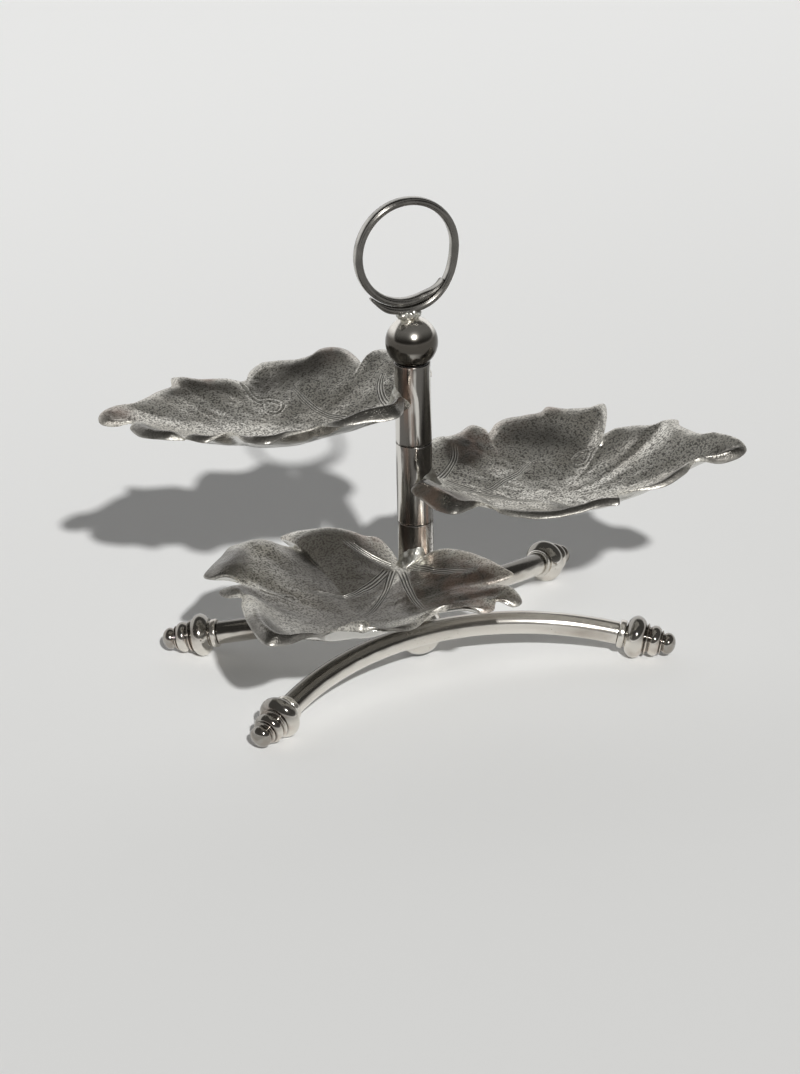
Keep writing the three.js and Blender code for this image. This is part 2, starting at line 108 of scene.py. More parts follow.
def ripple(points, size, seed, waves=20):
    """Soft unevenness of about one unit: a sum of plane sine waves in random directions, whose
    lengths scatter round size millimetres."""
    draw = np.random.default_rng(seed)
    total = np.zeros(points.shape[:-1])
    for _ in range(waves):
        direction = draw.normal(size=3)
        direction *= 2 * math.pi / (np.linalg.norm(direction) * size * draw.uniform(0.7, 1.6))
        total += np.sin(points @ direction + draw.uniform(0, 2 * math.pi))
    return total / math.sqrt(waves)


def smooth(value, start, stop):
    """Runs smoothly from 0 at start to 1 at stop."""
    t = np.clip((value - start) / (stop - start), 0, 1)
    return t * t * (3 - 2 * t)


class Wire:
    """A value or colour on its way through a material: a node's output that the usual operators
    work on, each of them adding a Math node."""

    def __init__(self, finish, socket):
        self.finish, self.socket = finish, socket

    def __add__(self, other):
        return self.finish.math("ADD", self, other)

    def __sub__(self, other):
        return self.finish.math("SUBTRACT", self, other)

    def __rsub__(self, other):
        return self.finish.math("SUBTRACT", other, self)

    def __mul__(self, other):
        return self.finish.math("MULTIPLY", self, other)

    def __truediv__(self, other):
        return self.finish.math("DIVIDE", self, other)

    def __pow__(self, other):
        return self.finish.math("POWER", self, other)

    __radd__ = __add__
    __rmul__ = __mul__

    def step(self, start, stop):
        """Runs smoothly from 0 at start to 1 at stop, whichever is larger."""
        return self.finish.add(
            "ShaderNodeMapRange",
            {"interpolation_type": "SMOOTHSTEP"},
            {"Value": self, "From Min": start, "From Max": stop},
        )


class Finish:
    """The node tree of a material, or of the world when one is given, with its shader and the one
    method that adds any other node to it."""

    def __init__(self, name, world=None, **sockets):
        self.material = world or bpy.data.materials.new(name)
        self.material.use_nodes = True
        self.tree = self.material.node_tree
        self.shader = self.tree.nodes["Background" if world else "Principled BSDF"]
        self.set(self.shader, sockets)

    def set(self, node, sockets):
        for key, value in sockets.items():
            if isinstance(value, Wire):
                self.tree.links.new(value.socket, node.inputs[key])
            else:
                node.inputs[key].default_value = value

    def add(self, kind, settings, sockets, out=0):
        node = self.tree.nodes.new(kind)
        for key, value in settings.items():
            setattr(node, key, value)
        self.set(node, sockets)
        return Wire(self, node.outputs[out])

    def math(self, operation, *values):
        return self.add("ShaderNodeMath", {"operation": operation}, dict(enumerate(values)))

    def mix(self, factor, first, second):
        """Blends two colours: the first at 0, the second at 1."""
        return self.add("ShaderNodeMix", {"data_type": "RGBA"}, {0: factor, 6: first, 7: second}, 2)

    def noise(self, scale, detail=2.0, stretch=(1, 1, 1), turn=(0, 0, 0), shift=0.0):
        """Cloudy noise from 0 to 1 with scale cells a metre, on the object's own coordinates."""
        place = self.add("ShaderNodeTexCoord", {}, {}, 3)
        sockets = {"Vector": place, "Location": (shift, shift, 0), "Rotation": turn, "Scale": stretch}
        vector = self.add("ShaderNodeMapping", {}, sockets)
        return self.add("ShaderNodeTexNoise", {}, {"Vector": vector, "Scale": scale, "Detail": detail})

    def mark(self, name):
        return self.add("ShaderNodeAttribute", {"attribute_name": name}, {}, 2)

    def bump(self, height):
        """Turns a height in millimetres into the shader's normal."""
        normal = self.add("ShaderNodeBump", {}, {"Height": height, "Distance": 0.001})
        self.set(self.shader, {"Normal": normal})


CLEAN_PLATE = (0.79, 0.76, 0.705, 1)
BROWN_TARNISH = (0.25, 0.195, 0.15, 1)
COPPER_STAIN = (0.46, 0.30, 0.22, 1)
BLACK_DIRT_AND_PAINTED_REFLECTION = (0.045, 0.038, 0.03, 1)


def plate(name, tarnish_and_painted_reflection, low_roughness, stretch=(1, 1, 1), turn=(0, 0, 0), stain=None, dirt_and_painted_reflection=None):
    """Old silver plate: clean metal that clouds over to brown, copper where a stain mark says the plate is
    worn through, black where a dark mark says, which holds dirt in the grooves and painted dark reflection on
    the tubes' tops, the finials' upper halves and the top ball's lower part, dull where it is brown, with
    pinholes."""
    finish = Finish(name, Metallic=1.0)
    cloud = finish.noise(55, 4, stretch, turn)
    brown = cloud.step(0.62 - 0.25 * tarnish_and_painted_reflection, 0.80) * tarnish_and_painted_reflection
    colour = finish.mix(brown, CLEAN_PLATE, BROWN_TARNISH)
    pinholes = finish.noise(950, 1).step(0.66, 0.74) * finish.noise(60, 2, shift=3.0).step(0.45, 0.6)
    if stain:
        copper = finish.mark(stain) * finish.noise(260, 4, stretch, turn, 5.0).step(0.36, 0.58)
        colour = finish.mix(copper, colour, COPPER_STAIN)
    # Painted dark reflection: this mark darkens towards black both for real dirt in the grooves and for dark
    # reflections painted on the tubes' tops, the finials' upper halves and the top ball's lower part.
    if dirt_and_painted_reflection:
        colour = finish.mix(finish.mark(dirt_and_painted_reflection), colour, BLACK_DIRT_AND_PAINTED_REFLECTION)
    colour = finish.mix(pinholes * 0.45, colour, BROWN_TARNISH)
    dull = finish.noise(120, 3, stretch, turn, 9.0)
    roughness = low_roughness + brown * 0.16 + dull * 0.09 + pinholes * 0.15
    finish.set(finish.shader, {"Base Color": colour, "Roughness": roughness})
    scratches = finish.noise(2400, 1, stretch, turn) * 0.0022 + finish.noise(170, 2, stretch, turn) * 0.035
    finish.bump(scratches - pinholes * 0.012)
    return finish.material


def bow(distance):
    """Middle line of the front tube: straight, then a circle's arc over the crown, then straight,
    in the slanted plane through the crown and both beads. Gives points and unit tangents."""
    rise = TUBE_MIDDLE - [0, -FOOT_HALF_WIDTH, BEAD_HEIGHT]
    sagitta = np.linalg.norm(rise)
    up, along = rise / sagitta, np.array([1.0, 0, 0])
    straight = BEAD_TO_TUBE + TUBE_END_STRAIGHT
    bend = 2 * math.atan(sagitta / (FOOT_HALF_LENGTH + straight))
    radius = (FOOT_HALF_LENGTH - straight * math.cos(bend)) / math.sin(bend)
    side = np.sign(distance)
    angle = np.minimum(abs(distance), radius * bend) / radius
    rest = np.maximum(abs(distance) - radius * bend, 0)
    out = radius * np.sin(angle) + rest * np.cos(angle)
    drop = radius * (1 - np.cos(angle)) + rest * np.sin(angle)
    points = TUBE_MIDDLE + np.outer(side * out, along) - np.outer(drop, up)
    tangents = np.outer(np.cos(angle), along) - np.outer(side * np.sin(angle), up)
    return points, tangents, np.cross(up, along), radius * bend + TUBE_END_STRAIGHT


def leg_tube(seed):
    """Outside wall, rounded lip, bore and the other lip, carried round the bowed middle line.
    Gives the grid and how far each point faces upwards, from 0 to 1."""
    half_length = bow(np.zeros(1))[3]
    lip = 0.35
    turn = np.linspace(0, math.pi / 2, 5)
    outside = np.linspace(-half_length + lip, half_length - lip, 190)
    bore = np.linspace(half_length - lip, -half_length + lip, 60)
    head = half_length - lip + lip * np.sin(turn[1:])
    distance = np.concatenate([outside, head, head[::-1], bore, -head, -head[::-1]])
    inner = TUBE_RADIUS - TUBE_WALL
    outer_lip = TUBE_RADIUS - lip + lip * np.cos(turn[1:])
    inner_lip = inner + lip - lip * np.cos(turn[1:])
    radius = np.concatenate([
        np.full(190, TUBE_RADIUS), outer_lip, inner_lip[::-1], np.full(60, inner), inner_lip, outer_lip[::-1],
    ])
    points, tangents, sideways, _ = bow(distance)
    around = np.linspace(0, 2 * math.pi, 72, endpoint=False)
    across = np.cross(sideways, tangents)
    ring = across[:, None] * np.cos(around)[:, None] + sideways * np.sin(around)[:, None]
    grid = points[:, None] + ring * radius[:, None, None]
    grid = grid + ring * (0.035 * ripple(grid, 26, seed) * (radius > inner + lip)[:, None])[..., None]
    return grid, smooth(ring[..., 2] + 0.05 * ripple(grid, 9, seed + 1), 0.12, 0.42)


def half_turn(grid):
    """The rear side of the base is the front side turned half round the post."""
    return grid * [-1, -1, 1]


leg_plate = plate("leg plate", 0.55, 0.13, stretch=(0.12, 1, 1), dirt_and_painted_reflection="tarnish_and_painted_reflection")
for side_name, turn_round, right_end_fade in (("front", False, 0.85), ("rear", True, 0)):
    grid, upward = leg_tube(3 if turn_round else 7)
    # Painted dark reflection: the upper side of each tube is darkened as if it mirrored a dark sky; on the
    # front tube this fades out towards its right end.
    tarnish_and_painted_reflection = 0.8 * upward * (1 - right_end_fade * smooth(grid[..., 0], -30, 35))
    node = f"{side_name}_leg_tube"
    grid = half_turn(grid) if turn_round else grid
    piece = skin(f"{node}_plated", grid, closed=True, marks={"tarnish_and_painted_reflection": tarnish_and_painted_reflection})
    piece.data.materials.append(leg_plate)
    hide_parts(node)
    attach(piece, "base")

# ---- Finials and collars ------------------------------------------------------------------
# Each tube end holds a turned and plated finial: a full bead that stands on the table, a ring, a
# smaller bead, a neck ring and an end ball. A separate turned collar sits between it and the tube.
# Dirt stays black in the grooves, and the plate is worn to copper beside them. The upper half of each finial
# is painted dark as a painted dark reflection, and the end ball is darkened by tarnish.

BEAD_RADIUS, MIDDLE_BEAD_RADIUS, END_BALL_RADIUS = 12.0, 8.6, 6.1
COLLAR_RADIUS, COLLAR_LENGTH = 8.0, 3.6
SPIGOT_RADIUS, SPIGOT_LENGTH = 5.0, 5.0
TUBE_FACE = -BEAD_TO_TUBE
GAP = 0.3


def bulge(centre, reach, radius, start, stop, count=18):
    """One turned swelling of the profile: part of an ellipse round the axis, closer steps where it
    curves. Rows of radius and height."""
    turn = np.linspace(math.asin((start - centre) / reach), math.asin((stop - centre) / reach), count)
    return np.column_stack([radius * np.cos(turn), centre + reach * np.sin(turn)])


def spin(profile, sides=96, axis=(0, 0, 1), centre=(0, 0, 0)):
    """Turns rows of radius and height about an axis through centre."""
    axis = np.array(axis, float)
    first = np.cross(axis, [0.0, 1, 0])
    first /= np.linalg.norm(first)
    second = np.cross(axis, first)
    around = np.linspace(0, 2 * math.pi, sides, endpoint=False)
    ring = np.cos(around)[:, None] * first + np.sin(around)[:, None] * second
    return np.array(centre) + profile[:, 0, None, None] * ring + profile[:, 1, None, None] * axis


finial_profile = np.vstack([
    [[0.3, TUBE_FACE - SPIGOT_LENGTH], [SPIGOT_RADIUS - 0.3, TUBE_FACE - SPIGOT_LENGTH]],
    [[SPIGOT_RADIUS, TUBE_FACE - SPIGOT_LENGTH + 0.3], [SPIGOT_RADIUS, -BEAD_HALF - 0.62]],
    [[SPIGOT_RADIUS + 0.05, -BEAD_HALF - 0.6], [6.9, -BEAD_HALF - 0.6], [7.0, -BEAD_HALF - 0.5]],
    [[7.05, -BEAD_HALF - 0.05], [7.2, -BEAD_HALF]],
    bulge(0, 7.1, BEAD_RADIUS, -BEAD_HALF, BEAD_HALF - 0.1, 34),
    [[8.1, BEAD_HALF + 0.05]],
    bulge(BEAD_HALF + 1.1, 1.6, 8.95, BEAD_HALF + 0.2, BEAD_HALF + 2.0, 9),
    [[7.35, BEAD_HALF + 2.25], [7.15, BEAD_HALF + 2.4]],
    bulge(BEAD_HALF + 5.5, 5.2, MIDDLE_BEAD_RADIUS, BEAD_HALF + 2.55, BEAD_HALF + 8.5, 24),
    [[6.3, BEAD_HALF + 8.7]],
    bulge(BEAD_HALF + 9.5, 1.15, 6.75, BEAD_HALF + 8.85, BEAD_HALF + 10.15, 8),
    [[5.2, BEAD_HALF + 10.4], [5.1, BEAD_HALF + 10.6]],
    bulge(BEAD_HALF + 13.2, 4.4, END_BALL_RADIUS, BEAD_HALF + 10.8, BEAD_HALF + 17.55, 26),
])
depth = np.interp(
    finial_profile[:, 1],
    BEAD_HALF + np.array([-0.9, -0.35, 0.05, 0.6, 1.7, 2.3, 3.3, 8.0, 8.7, 9.2, 9.9, 10.5, 11.3]),
    [0.0, 0.3, 1.0, 0.0, 0.0, 1.0, 0.0, 0.0, 1.0, 0.0, 0.1, 1.0, 0.0],
)
near_groove = np.interp(
    finial_profile[:, 1],
    BEAD_HALF + np.array([-3.0, 0.0, 2.5, 4.5, 6.5, 8.5, 11.0, 14.0, 17.6]),
    [0.0, 0.75, 0.9, 0.15, 0.25, 0.9, 0.9, 0.55, 0.5],
)
half_collar = np.array([
    [SPIGOT_RADIUS + GAP, 0.1], [SPIGOT_RADIUS + GAP + 0.1, 0], [COLLAR_RADIUS - 0.75, 0],
    [COLLAR_RADIUS - 0.5, 0.08], [COLLAR_RADIUS - 0.22, 0.35], [COLLAR_RADIUS - 0.05, 0.75],
    [COLLAR_RADIUS, 1.2], [COLLAR_RADIUS - 0.02, 1.6],
])
collar_profile = np.vstack([half_collar, half_collar[::-1] * [1, -1] + [0, COLLAR_LENGTH]])

finial_plate = plate("finial plate", 0.5, 0.06, stain="worn", dirt_and_painted_reflection="dirt_and_painted_reflection")
collar_plate = plate("collar plate", 0.8, 0.16)
for side_name, turn_round, ends in (("front", False, ("left", "right")), ("rear", True, ("right", "left"))):
    for end, end_name in zip((-1, 1), ends):
        place = np.array([end * FOOT_HALF_LENGTH, -FOOT_HALF_WIDTH, BEAD_HEIGHT])
        outward = bow(np.array([end * 500.0]))[1][0] * end
        finial = spin(finial_profile, 96, outward, place)
        finial[..., 2] = np.maximum(finial[..., 2], 0.0)
        collar = spin(collar_profile, 96, outward, place + outward * (TUBE_FACE + GAP))
        # Painted dark reflection: darker above the finial's axis; the end ball's extra darkening is tarnish.
        over_axis = finial[..., 2] - place[2] - finial_profile[:, 1, None] * outward[2]
        tarnish_and_painted_reflection = 0.62 * smooth(over_axis / finial_profile[:, 0, None], 0.0, 0.6)
        tarnish_and_painted_reflection = np.maximum(tarnish_and_painted_reflection, 0.5 * smooth(finial_profile[:, 1, None], BEAD_HALF + 9, BEAD_HALF + 12))
        marks = {"worn": near_groove[:, None] * 0.35, "dirt_and_painted_reflection": np.maximum(depth[:, None] * 0.9, tarnish_and_painted_reflection)}
        for node, grid, closed, material, marks, slot in (
            (f"{side_name}_{end_name}_finial", finial, False, finial_plate, marks, "silver_plate"),
            (f"{side_name}_{end_name}_collar", collar, True, collar_plate, {}, "tarnished_silver"),
        ):
            piece = skin(f"{node}_turned", half_turn(grid) if turn_round else grid, closed, marks)
            piece.data.materials.append(material)
            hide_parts(node)
            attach(piece, "base")

# ---- Hub ball, neck and solder saddles -----------------------------------------------------
# A spun and plated ball under the post, bored for the tie rod, with a turned neck on it that the
# sleeves stand on. Both tubes are joined to the ball's flanks with lumps of soft solder.

HUB_RADIUS, HUB_HEIGHT = 14.3, 15.6
HUB_TOP_RADIUS, RECESS_RADIUS, RECESS_TOP, ROD_BORE = 8.4, 6.57, 7.6, 3.4
HUB_TOP = HUB_HEIGHT + math.sqrt(HUB_RADIUS**2 - HUB_TOP_RADIUS**2)
HUB_FOOT = HUB_HEIGHT - math.sqrt(HUB_RADIUS**2 - RECESS_RADIUS**2)
HUB_FILM = 0.1
SLEEVE_BOTTOM, SLEEVE_RADIUS, SLEEVE_WALL, SLEEVE_PITCH = 36.6, 9.9, 1.4, 46.6

hub_profile = np.vstack([
    [[ROD_BORE, RECESS_TOP], [RECESS_RADIUS, RECESS_TOP]],
    bulge(HUB_HEIGHT, HUB_RADIUS, HUB_RADIUS, HUB_FOOT, HUB_TOP, 60),
    [[HUB_TOP_RADIUS - 0.1, HUB_TOP + 0.02], [ROD_BORE, HUB_TOP + 0.02]],
])
neck_top = SLEEVE_BOTTOM - GAP
sweep = np.linspace(0, math.pi / 2, 12)
neck_profile = np.vstack([
    [[ROD_BORE, HUB_TOP + GAP], [8.0, HUB_TOP + GAP], [8.2, HUB_TOP + GAP + 0.15], [8.2, HUB_TOP + 0.9]],
    [[7.9, HUB_TOP + 1.3], [7.45, HUB_TOP + 1.7]],
    np.column_stack([SLEEVE_RADIUS - 2.5 * np.cos(sweep), neck_top - 5.2 + 2.3 * np.sin(sweep)]),
    [[SLEEVE_RADIUS, neck_top - 2.7], [SLEEVE_RADIUS, neck_top - 0.2], [SLEEVE_RADIUS - 0.2, neck_top]],
    [[ROD_BORE, neck_top]],
])
ball_plate = plate("ball plate", 0.35, 0.12, dirt_and_painted_reflection="darkening")
for node, profile in (("hub_ball", hub_profile), ("hub_neck", neck_profile)):
    marks = {"darkening": np.full((len(profile), 1), HUB_FILM)}
    piece = skin(f"{node}_plated", spin(profile, 96), closed=True, marks=marks)
    piece.data.materials.append(ball_plate)
    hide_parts(node)
    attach(piece, "base")


def solder_finish():
    """Soft solder run on by hand: pale grey, dull, freckled, with a puckered skin."""
    finish = Finish("soft solder", Metallic=1.0)
    cloud = finish.noise(240, 4)
    freckle = finish.noise(1100, 2, shift=2.0).step(0.55, 0.7)
    colour = finish.mix(cloud.step(0.35, 0.7), (0.60, 0.60, 0.56, 1), (0.36, 0.34, 0.30, 1))
    colour = finish.mix(freckle * 0.5, colour, (0.16, 0.14, 0.12, 1))
    finish.set(finish.shader, {"Base Color": colour, "Roughness": cloud * 0.25 + 0.2})
    finish.bump(finish.noise(420, 3, shift=4.0) * 0.30 + finish.noise(1600, 2) * 0.05)
    return finish.material


def lump(centre, sizes, seed, rough=0.25, turn=np.eye(3)):
    """A lump of solder: an ellipsoid of these half sizes, pushed in and out by soft ripples."""
    height = np.linspace(0, math.pi, 42)[1:-1]
    around = np.linspace(0, 2 * math.pi, 72, endpoint=False)
    unit = np.stack([
        np.outer(np.sin(height), np.cos(around)),
        np.outer(np.sin(height), np.sin(around)),
        np.outer(np.cos(height), np.ones(72)),
    ], -1)
    grid = unit * sizes
    grid = grid + unit * (rough * (ripple(grid, 3.4, seed) + 0.6 * ripple(grid, 1.7, seed + 1)))[..., None]
    return grid @ turn.T + centre


solder = solder_finish()
to_tube = TUBE_MIDDLE - [0, 0, HUB_HEIGHT]
to_tube /= np.linalg.norm(to_tube)
saddle_turn = np.column_stack([[1, 0, 0], np.cross(to_tube, [1, 0, 0]), to_tube])
saddle_centre = np.array([0, 0, HUB_HEIGHT]) + to_tube * (HUB_RADIUS + 0.9)
saddle = lump(saddle_centre, (7.6, 5.4, 3.6), 21, 0.2, saddle_turn)
for node, grid in (("front_solder_saddle", saddle), ("rear_solder_saddle", half_turn(saddle))):
    piece = skin(f"{node}_lump", grid)
    piece.data.materials.append(solder)
    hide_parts(node)
    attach(piece, "base")

# ---- Tie rod, nut and spindle tube ---------------------------------------------------------
# Plain steel inside the post. The rod and its nut clamp the hub, the spindle tube and the top ball
# together. Only the nut's underside can be seen, in the hub's recess.


def steel_finish():
    """Bare drawn steel: grey, with lines along the bar and rust-brown freckles."""
    finish = Finish("bare steel", Metallic=1.0)
    lines = finish.noise(900, 3, (1, 1, 0.05))
    rust = finish.noise(300, 4, shift=6.0).step(0.58, 0.72)
    colour = finish.mix(lines, (0.46, 0.46, 0.45, 1), (0.34, 0.34, 0.33, 1))
    finish.set(finish.shader, {
        "Base Color": finish.mix(rust * 0.7, colour, (0.20, 0.11, 0.06, 1)),
        "Roughness": lines * 0.2 + rust * 0.3 + 0.25,
    })
    finish.bump(lines * 0.03 + rust * 0.04)
    return finish.material


steel = steel_finish()
for node in ("tie_rod", "tie_nut", "spindle_tube"):
    for material_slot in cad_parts[node].material_slots:
        material_slot.material = steel

# ---- Sleeves -------------------------------------------------------------------------------
# Three plain plated tubes that turn on the spindle, each with one leaf soldered to its side. The
# plate is thin and streaked up and down, brown and copper between bright strips.

SLEEVE_HALF = (SLEEVE_PITCH - GAP) / 2
tiers = (
    # name, direction of the leaf's tip, mirrored casting, bowl floor, edge at the sleeve, level
    ("upper", 158, 1, -17, 3, 2),
    ("middle", -36, -1, -7, 1, 1),
    ("lower", 219, 1, -5, -2, 0),
)


def sleeve_finish():
    """Streaked plate: bright strips, grey-brown film and copper lines that run along the post,
    over marks that say where the film is thick and where the copper shows."""
    finish = Finish("sleeve plate", Metallic=1.0)
    strips = finish.noise(330, 3, (1, 1, 0.035))
    threads = finish.noise(1500, 2, (1, 1, 0.012), shift=7.0)
    patches = finish.noise(90, 4, (1, 1, 0.5), shift=4.0)
    darkening = (strips * 0.6 + patches * 0.4 + finish.mark("darkening") * 0.34).step(0.46, 0.66)
    colour = finish.mix(darkening, (0.76, 0.74, 0.70, 1), (0.16, 0.151, 0.14, 1))
    copper = finish.mark("copper") * (threads * 0.5 + patches * 0.5).step(0.38, 0.52)
    colour = finish.mix(copper * 0.65, colour, (0.34, 0.215, 0.16, 1))
    specks = finish.noise(820, 3, shift=1.0).step(0.56, 0.62) * finish.mark("specks")
    colour = finish.mix(specks * 0.8, colour, (0.09, 0.075, 0.06, 1))
    roughness = darkening * 0.10 + threads * 0.08 + copper * 0.12 + specks * 0.3 + 0.07
    finish.set(finish.shader, {"Base Color": colour, "Roughness": roughness})
    finish.bump(strips * 0.11 + threads * 0.02 + patches * 0.08 + specks * 0.05)
    return finish.material


sleeve_plate = sleeve_finish()
for name, turn, mirror, floor, seat, level in tiers:
    bevel, corner = 0.3, 0.09
    walls = np.linspace(-SLEEVE_HALF + bevel, SLEEVE_HALF - bevel, 60)
    inner = SLEEVE_RADIUS - SLEEVE_WALL
    profile = np.vstack([
        [[inner, -SLEEVE_HALF], [SLEEVE_RADIUS - bevel, -SLEEVE_HALF]],
        [[SLEEVE_RADIUS - corner, -SLEEVE_HALF + corner]],
        np.column_stack([np.full(60, SLEEVE_RADIUS), walls]),
        [[SLEEVE_RADIUS - corner, SLEEVE_HALF - corner]],
        [[SLEEVE_RADIUS - bevel, SLEEVE_HALF], [inner, SLEEVE_HALF]],
    ])
    centre = SLEEVE_BOTTOM + (level + 0.5) * SLEEVE_PITCH
    grid = spin(profile, 96, centre=(0, 0, centre))
    outward = grid * [1, 1, 0] / np.linalg.norm(grid * [1, 1, 0], axis=-1, keepdims=True)
    dents = (0.03 * ripple(grid * [1, 1, 0.3], 11, 40 + level))[..., None]
    grid = grid + outward * dents * (profile[:, 0] > inner)[:, None, None]
    height = grid[..., 2] - centre
    facing = np.degrees(np.arctan2(grid[..., 1], grid[..., 0]))

    def band(middle, width):
        """1 on the line of the sleeve that faces middle degrees, falling to 0 over width degrees."""
        return np.exp(-(((facing - middle + 180) % 360 - 180) / width) ** 2)

    darkening = {
        "upper": band(-146, 20) + band(-74, 24) * 0.9 - band(-101 - 22 * smooth(height, 2, 18), 3.5) * 1.1
        - band(-174, 13) * smooth(height, 0, -8) * 0.9,
        "middle": band(-72, 28) + band(-128, 18) * 0.8 - band(-103, 4) * smooth(height, -4, 4) * 1.6
        - band(-91, 4) * smooth(height, -4, -10) * 1.6 - band(-174, 12) * 1.3,
        "lower": band(-128, 30) + band(-66, 12) * 0.4 - band(-88, 5) * 1.2,
    }[name]
    copper = {
        "upper": band(-136, 13) * smooth(height, -20, 8) + band(-118, 5) * 0.7,
        "middle": band(-140, 9) * 0.6 + band(-74, 5) * smooth(height, 4, -12) * 0.9,
        "lower": band(-84, 9) + band(-150, 12) * 0.4,
    }[name]
    specks = {
        "upper": band(-40, 14) * 0.3,
        "middle": band(-52, 16) * smooth(height, 6, -6),
        "lower": band(-62, 20),
    }[name]
    rim = np.exp(-(SLEEVE_HALF - abs(height)) / 1.2)
    marks = {"darkening": darkening + 0.6 * rim, "copper": copper, "specks": specks + 0.3 * rim}
    piece = skin(f"{name}_sleeve_plated", grid, True, marks)
    piece.data.materials.append(sleeve_plate)
    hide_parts(f"{name}_sleeve")
    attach(piece, f"{name}_tier")

# ---- Leaf dishes ---------------------------------------------------------------------------
# Three vine leaves cast in pewter, each a shallow bowl with rolled lobes, bent a little differently by hand.
# The top is pricked all over, with five bundles of engraved veins and a scroll that runs in from the largest
# notch. The rims have a bright worn line at the very edge; the rolled lips are painted dark as a painted dark
# reflection, a band inside them is painted lighter as a painted pale reflection, and the far walls carry dark
# patches that are partly oxide, partly painted dark reflection. The underside is smooth.

LEAF_CENTRE = 72.0
BOWL_POWER = 1.7
LEAF_SIDES = 628
RIM_WALL, FLOOR_WALL, EDGE_ROUND, LIP_BLEND = 1.2, 2.4, 0.6, 3.0
SEAT_RADIUS = SLEEVE_RADIUS + 0.9
# half sizes of the oval that the middle points of the bowl's curved rays lie near
RAY_OVAL_X, RAY_OVAL_Y = 54, 33
# slope at which the lip's line goes on inside the crest, and columns that even out the bowl's rise
LIP_SLOPE, REACH_SPREAD = 0.6, 30
